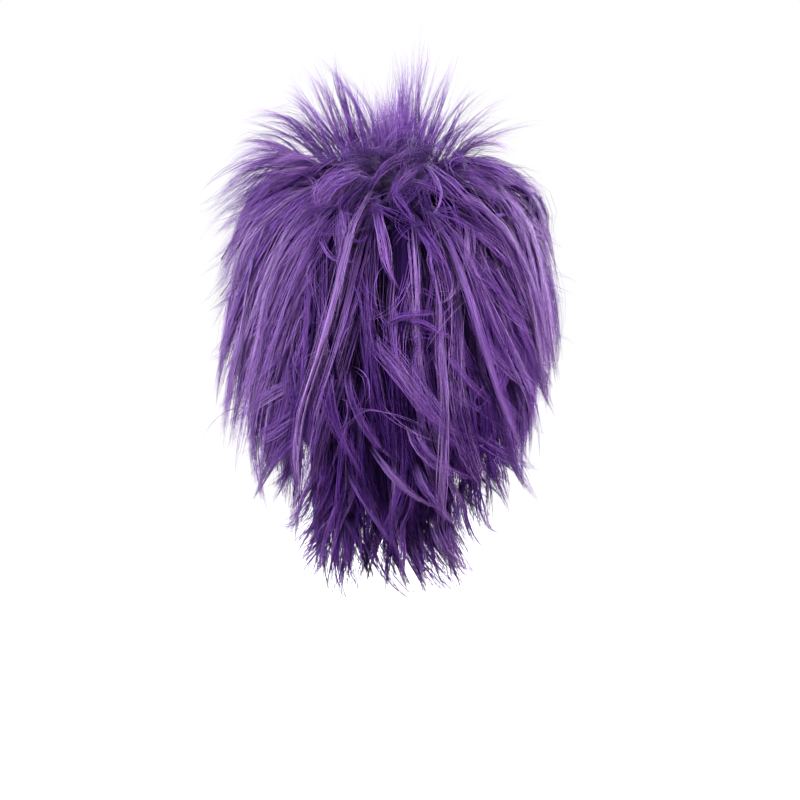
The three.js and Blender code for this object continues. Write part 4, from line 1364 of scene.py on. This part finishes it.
def track_piece(band):
    """The weft that a band's hair is sewn to, a flat strip round the cap."""
    first, last = band["span"]
    steps = int((last - first) / 2)
    azimuth = np.linspace(first, last, steps + 1)
    half = math.degrees(WEFT_HALF_WIDTH / HEAD_HALF[2])
    low, high = CAP_WALL + SEAT_GAP, CAP_WALL + SEAT_GAP + WEFT_THICKNESS
    middle = sum(band["polar"]) / 2
    corners = [(-half, low), (half, low), (half, high), (0, high + 0.3), (-half, high)]
    rings = np.stack(
        [head_point(azimuth, middle + turn, np.full(steps + 1, o)) for turn, o in corners], 1
    )
    return swept(band["node"] + "_track", rings, False, (0.5, 0.4))


BACKING_POLAR = 27.0
BACKING_STEPS = (7, 48)


def backing_piece():
    """The round backing on the crown that the spikes are fused to."""
    rows, columns = BACKING_STEPS
    polar = np.linspace(0.5, BACKING_POLAR, rows + 1)[:, None]
    turn = np.arange(columns)[None, :] * 360 / columns
    low = CAP_WALL + SEAT_GAP
    offsets = [np.full((rows + 1, columns), o) for o in (low, low + WEFT_THICKNESS)]
    points = np.concatenate([head_point(turn, polar, o).reshape(-1, 3) for o in offsets])
    under = (rows + 1) * columns
    faces, places = [], []
    for row in range(rows):
        for column in range(columns):
            after = (column + 1) % columns
            a, b = row * columns + column, row * columns + after
            c, d = a + columns, b + columns
            faces += [[under + a, under + b, under + d, under + c], [a, c, d, b]]
            spot = [(column, row), (column + 1, row), (column + 1, row + 1), (column, row + 1)]
            places += spot + [spot[0], spot[3], spot[2], spot[1]]
    for column in range(columns):
        a, b = rows * columns + column, rows * columns + (column + 1) % columns
        faces.append([a, under + a, under + b, b])
        places += [(column, rows), (column, rows + 1), (column + 1, rows + 1), (column + 1, rows)]
    ring = list(range(columns))
    faces += [[under + i for i in reversed(ring)], ring]
    places += [(i, 0) for i in reversed(ring)] + [(i, 0) for i in ring]
    return new_mesh("crown_backing", points, faces, {"Cloth": np.array(places) * [0.5, 0.5]})


# Dressing

violet = hair_material("hair_violet", gloss=0.42, through_share=0.17, deepest=DEEP_HAIR)
# The cores' material is painted shade, with little gloss and no light through it.
painted_shade_core_material = hair_material("hair_core_painted_shade", gloss=0.06, through_share=0.0, deepest=CORE_PAINTED_SHADE)
net = cloth_material("cap_net_cloth", NET_COLOUR, NET_CORD, 90.0, 60.0, 0.85)
binding = cloth_material("binding_cloth", BINDING_COLOUR, BINDING_THREAD, 2.0, 3.0, 0.8)
track_cloth = cloth_material("weft_cloth", TRACK_COLOUR, TRACK_THREAD, 1.0, 1.0, 0.7)
backing_cloth = cloth_material("backing_cloth", BACKING_COLOUR, BACKING_THREAD, 3.0, 3.0, 0.8)


def dress(piece, material, node):
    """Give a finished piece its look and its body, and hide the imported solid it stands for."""
    piece.data.materials.append(material)
    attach(piece, "root")
    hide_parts(node)


dress(cap_piece(), net, "cap")
dress(binding_piece(), binding, "edge_band")
dress(backing_piece(), backing_cloth, "crown_spikes")
for band in BANDS:
    dress(track_piece(band), track_cloth, band["node"])
for number, band in enumerate(BANDS + SWEEPS):
    over = "_over_%d" % (number - len(BANDS)) if number >= len(BANDS) else ""
    name = band["node"] + over
    locks = Locks(band)
    # Under each lock's strands lies its core, a body of painted shade.
    dress(core_mesh(name + "_under", locks), painted_shade_core_material, band["node"])
    dress(strand_mesh(name + "_hair", *band_strands(locks)), violet, band["node"])
tips = spike_strands(SPIKES + more_spikes())
dress(strand_mesh("crown_spikes_tips", *tips), violet, "crown_spikes")
dress(strand_mesh("crown_spikes_tangle", *tangle_strands()), violet, "crown_spikes")
for node, rows in LOOSE_LOCKS.items():
    strands = loose_strands(rows, LOOSE_TONES.get(node, LOOSE_TONE))
    dress(strand_mesh(node + "_loose", *strands), violet, node)
thin_locks = {"flicks": flicked_rows(), "flyaways": flyaway_rows(), "strays": stray_rows()}
for name, rows in thin_locks.items():
    strands = strand_mesh("upper_back_weft_" + name, *loose_strands(rows))
    dress(strands, violet, "upper_back_weft")


# Studio

VIEW_HEIGHT = -133.0
VIEW_SIDE = -5.0
VIEW_DISTANCE = 1700.0
VIEW_ELEVATION = 2.5
FIELD_WIDTH = 496.0
FLOOR_HEIGHT = -372.0
FLOOR_RADIUS = 9000.0
FLOOR_SIDES = 96
WORLD_LIGHT = 0.2
SENSOR_WIDTH = 36.0
# What the lights turn to, and each one's place, power, size and colour.
LIT_PLACE = (0, 0, -100)
WHITE = (1.0, 1.0, 1.0)
LIGHTS = {
    "key": ((-950, 450, 450), 38, 600, (1.0, 0.96, 0.93)),
    "side": ((1000, 450, 250), 31, 600, WHITE),
    "fill": ((100, 1600, 100), 6, 1200, WHITE),
    "top": ((100, -500, 1200), 12, 700, WHITE),
    "front_right": ((-900, -1300, 400), 30, 800, WHITE),
    "front_left": ((1000, -1100, 200), 20, 800, WHITE),
}


def studio_floor():
    """A plain white floor, round and wide."""
    turn = np.arange(FLOOR_SIDES) * 2 * np.pi / FLOOR_SIDES
    across, along = np.sin(turn) * FLOOR_RADIUS, np.cos(turn) * FLOOR_RADIUS
    rim = np.stack([across, along, np.full(FLOOR_SIDES, FLOOR_HEIGHT)], -1)
    floor = new_mesh("studio_floor", rim, [list(range(FLOOR_SIDES))[::-1]], smooth=False)
    graph = Graph("floor_white")
    graph.shader.inputs["Base Color"].default_value = (0.9, 0.9, 0.9, 1.0)
    graph.shader.inputs["Roughness"].default_value = 0.9
    graph.shader.inputs["Emission Color"].default_value = (1.0, 1.0, 1.0, 1.0)
    graph.shader.inputs["Emission Strength"].default_value = 1.0
    floor.data.materials.append(graph.material)
    # The floor doesn't throw light back up into the hair.
    floor.visible_diffuse = False
    floor.visible_glossy = False


def area_light(name, place, power, size, colour):
    """A square soft light at a place in millimetres, turned to the wig's middle."""
    lamp = bpy.data.lights.new(name, "AREA")
    lamp.energy = power
    lamp.size = size * MM
    lamp.color = colour
    holder = bpy.data.objects.new(name, lamp)
    holder.location = Vector(place) * MM
    target = Vector(LIT_PLACE) * MM
    holder.rotation_euler = (target - holder.location).to_track_quat("-Z", "Y").to_euler()
    bpy.context.scene.collection.objects.link(holder)


def studio_camera():
    """The camera of the photo, behind the wearer and a little above the middle of the hair."""
    lens = bpy.data.cameras.new("camera")
    lens.sensor_width = SENSOR_WIDTH
    lens.lens = SENSOR_WIDTH * VIEW_DISTANCE / FIELD_WIDTH
    lens.clip_end = 60.0
    holder = bpy.data.objects.new("camera", lens)
    rise = math.radians(VIEW_ELEVATION)
    target = Vector((VIEW_SIDE, 0, VIEW_HEIGHT)) * MM
    away = Vector((0, math.cos(rise), math.sin(rise))) * VIEW_DISTANCE * MM
    holder.location = target + away
    holder.rotation_euler = (-away).to_track_quat("-Z", "Y").to_euler()
    bpy.context.scene.collection.objects.link(holder)
    bpy.context.scene.camera = holder


def studio_world():
    """A white background for the camera, and a dim light for everything else."""
    world = bpy.data.worlds.new("studio")
    world.use_nodes = True
    tree = world.node_tree
    seen = tree.nodes["Background"]
    seen.inputs["Color"].default_value = (1.0, 1.0, 1.0, 1.0)
    lighting = tree.nodes.new("ShaderNodeBackground")
    lighting.inputs["Strength"].default_value = WORLD_LIGHT
    rays = tree.nodes.new("ShaderNodeLightPath")
    both = tree.nodes.new("ShaderNodeMixShader")
    tree.links.new(rays.outputs["Is Camera Ray"], both.inputs[0])
    tree.links.new(lighting.outputs[0], both.inputs[1])
    tree.links.new(seen.outputs[0], both.inputs[2])
    tree.links.new(both.outputs[0], tree.nodes["World Output"].inputs["Surface"])
    bpy.context.scene.world = world


studio_floor()
studio_camera()
studio_world()
for name, light in LIGHTS.items():
    area_light(name, *light)
bpy.context.scene.view_settings.view_transform = "Standard"
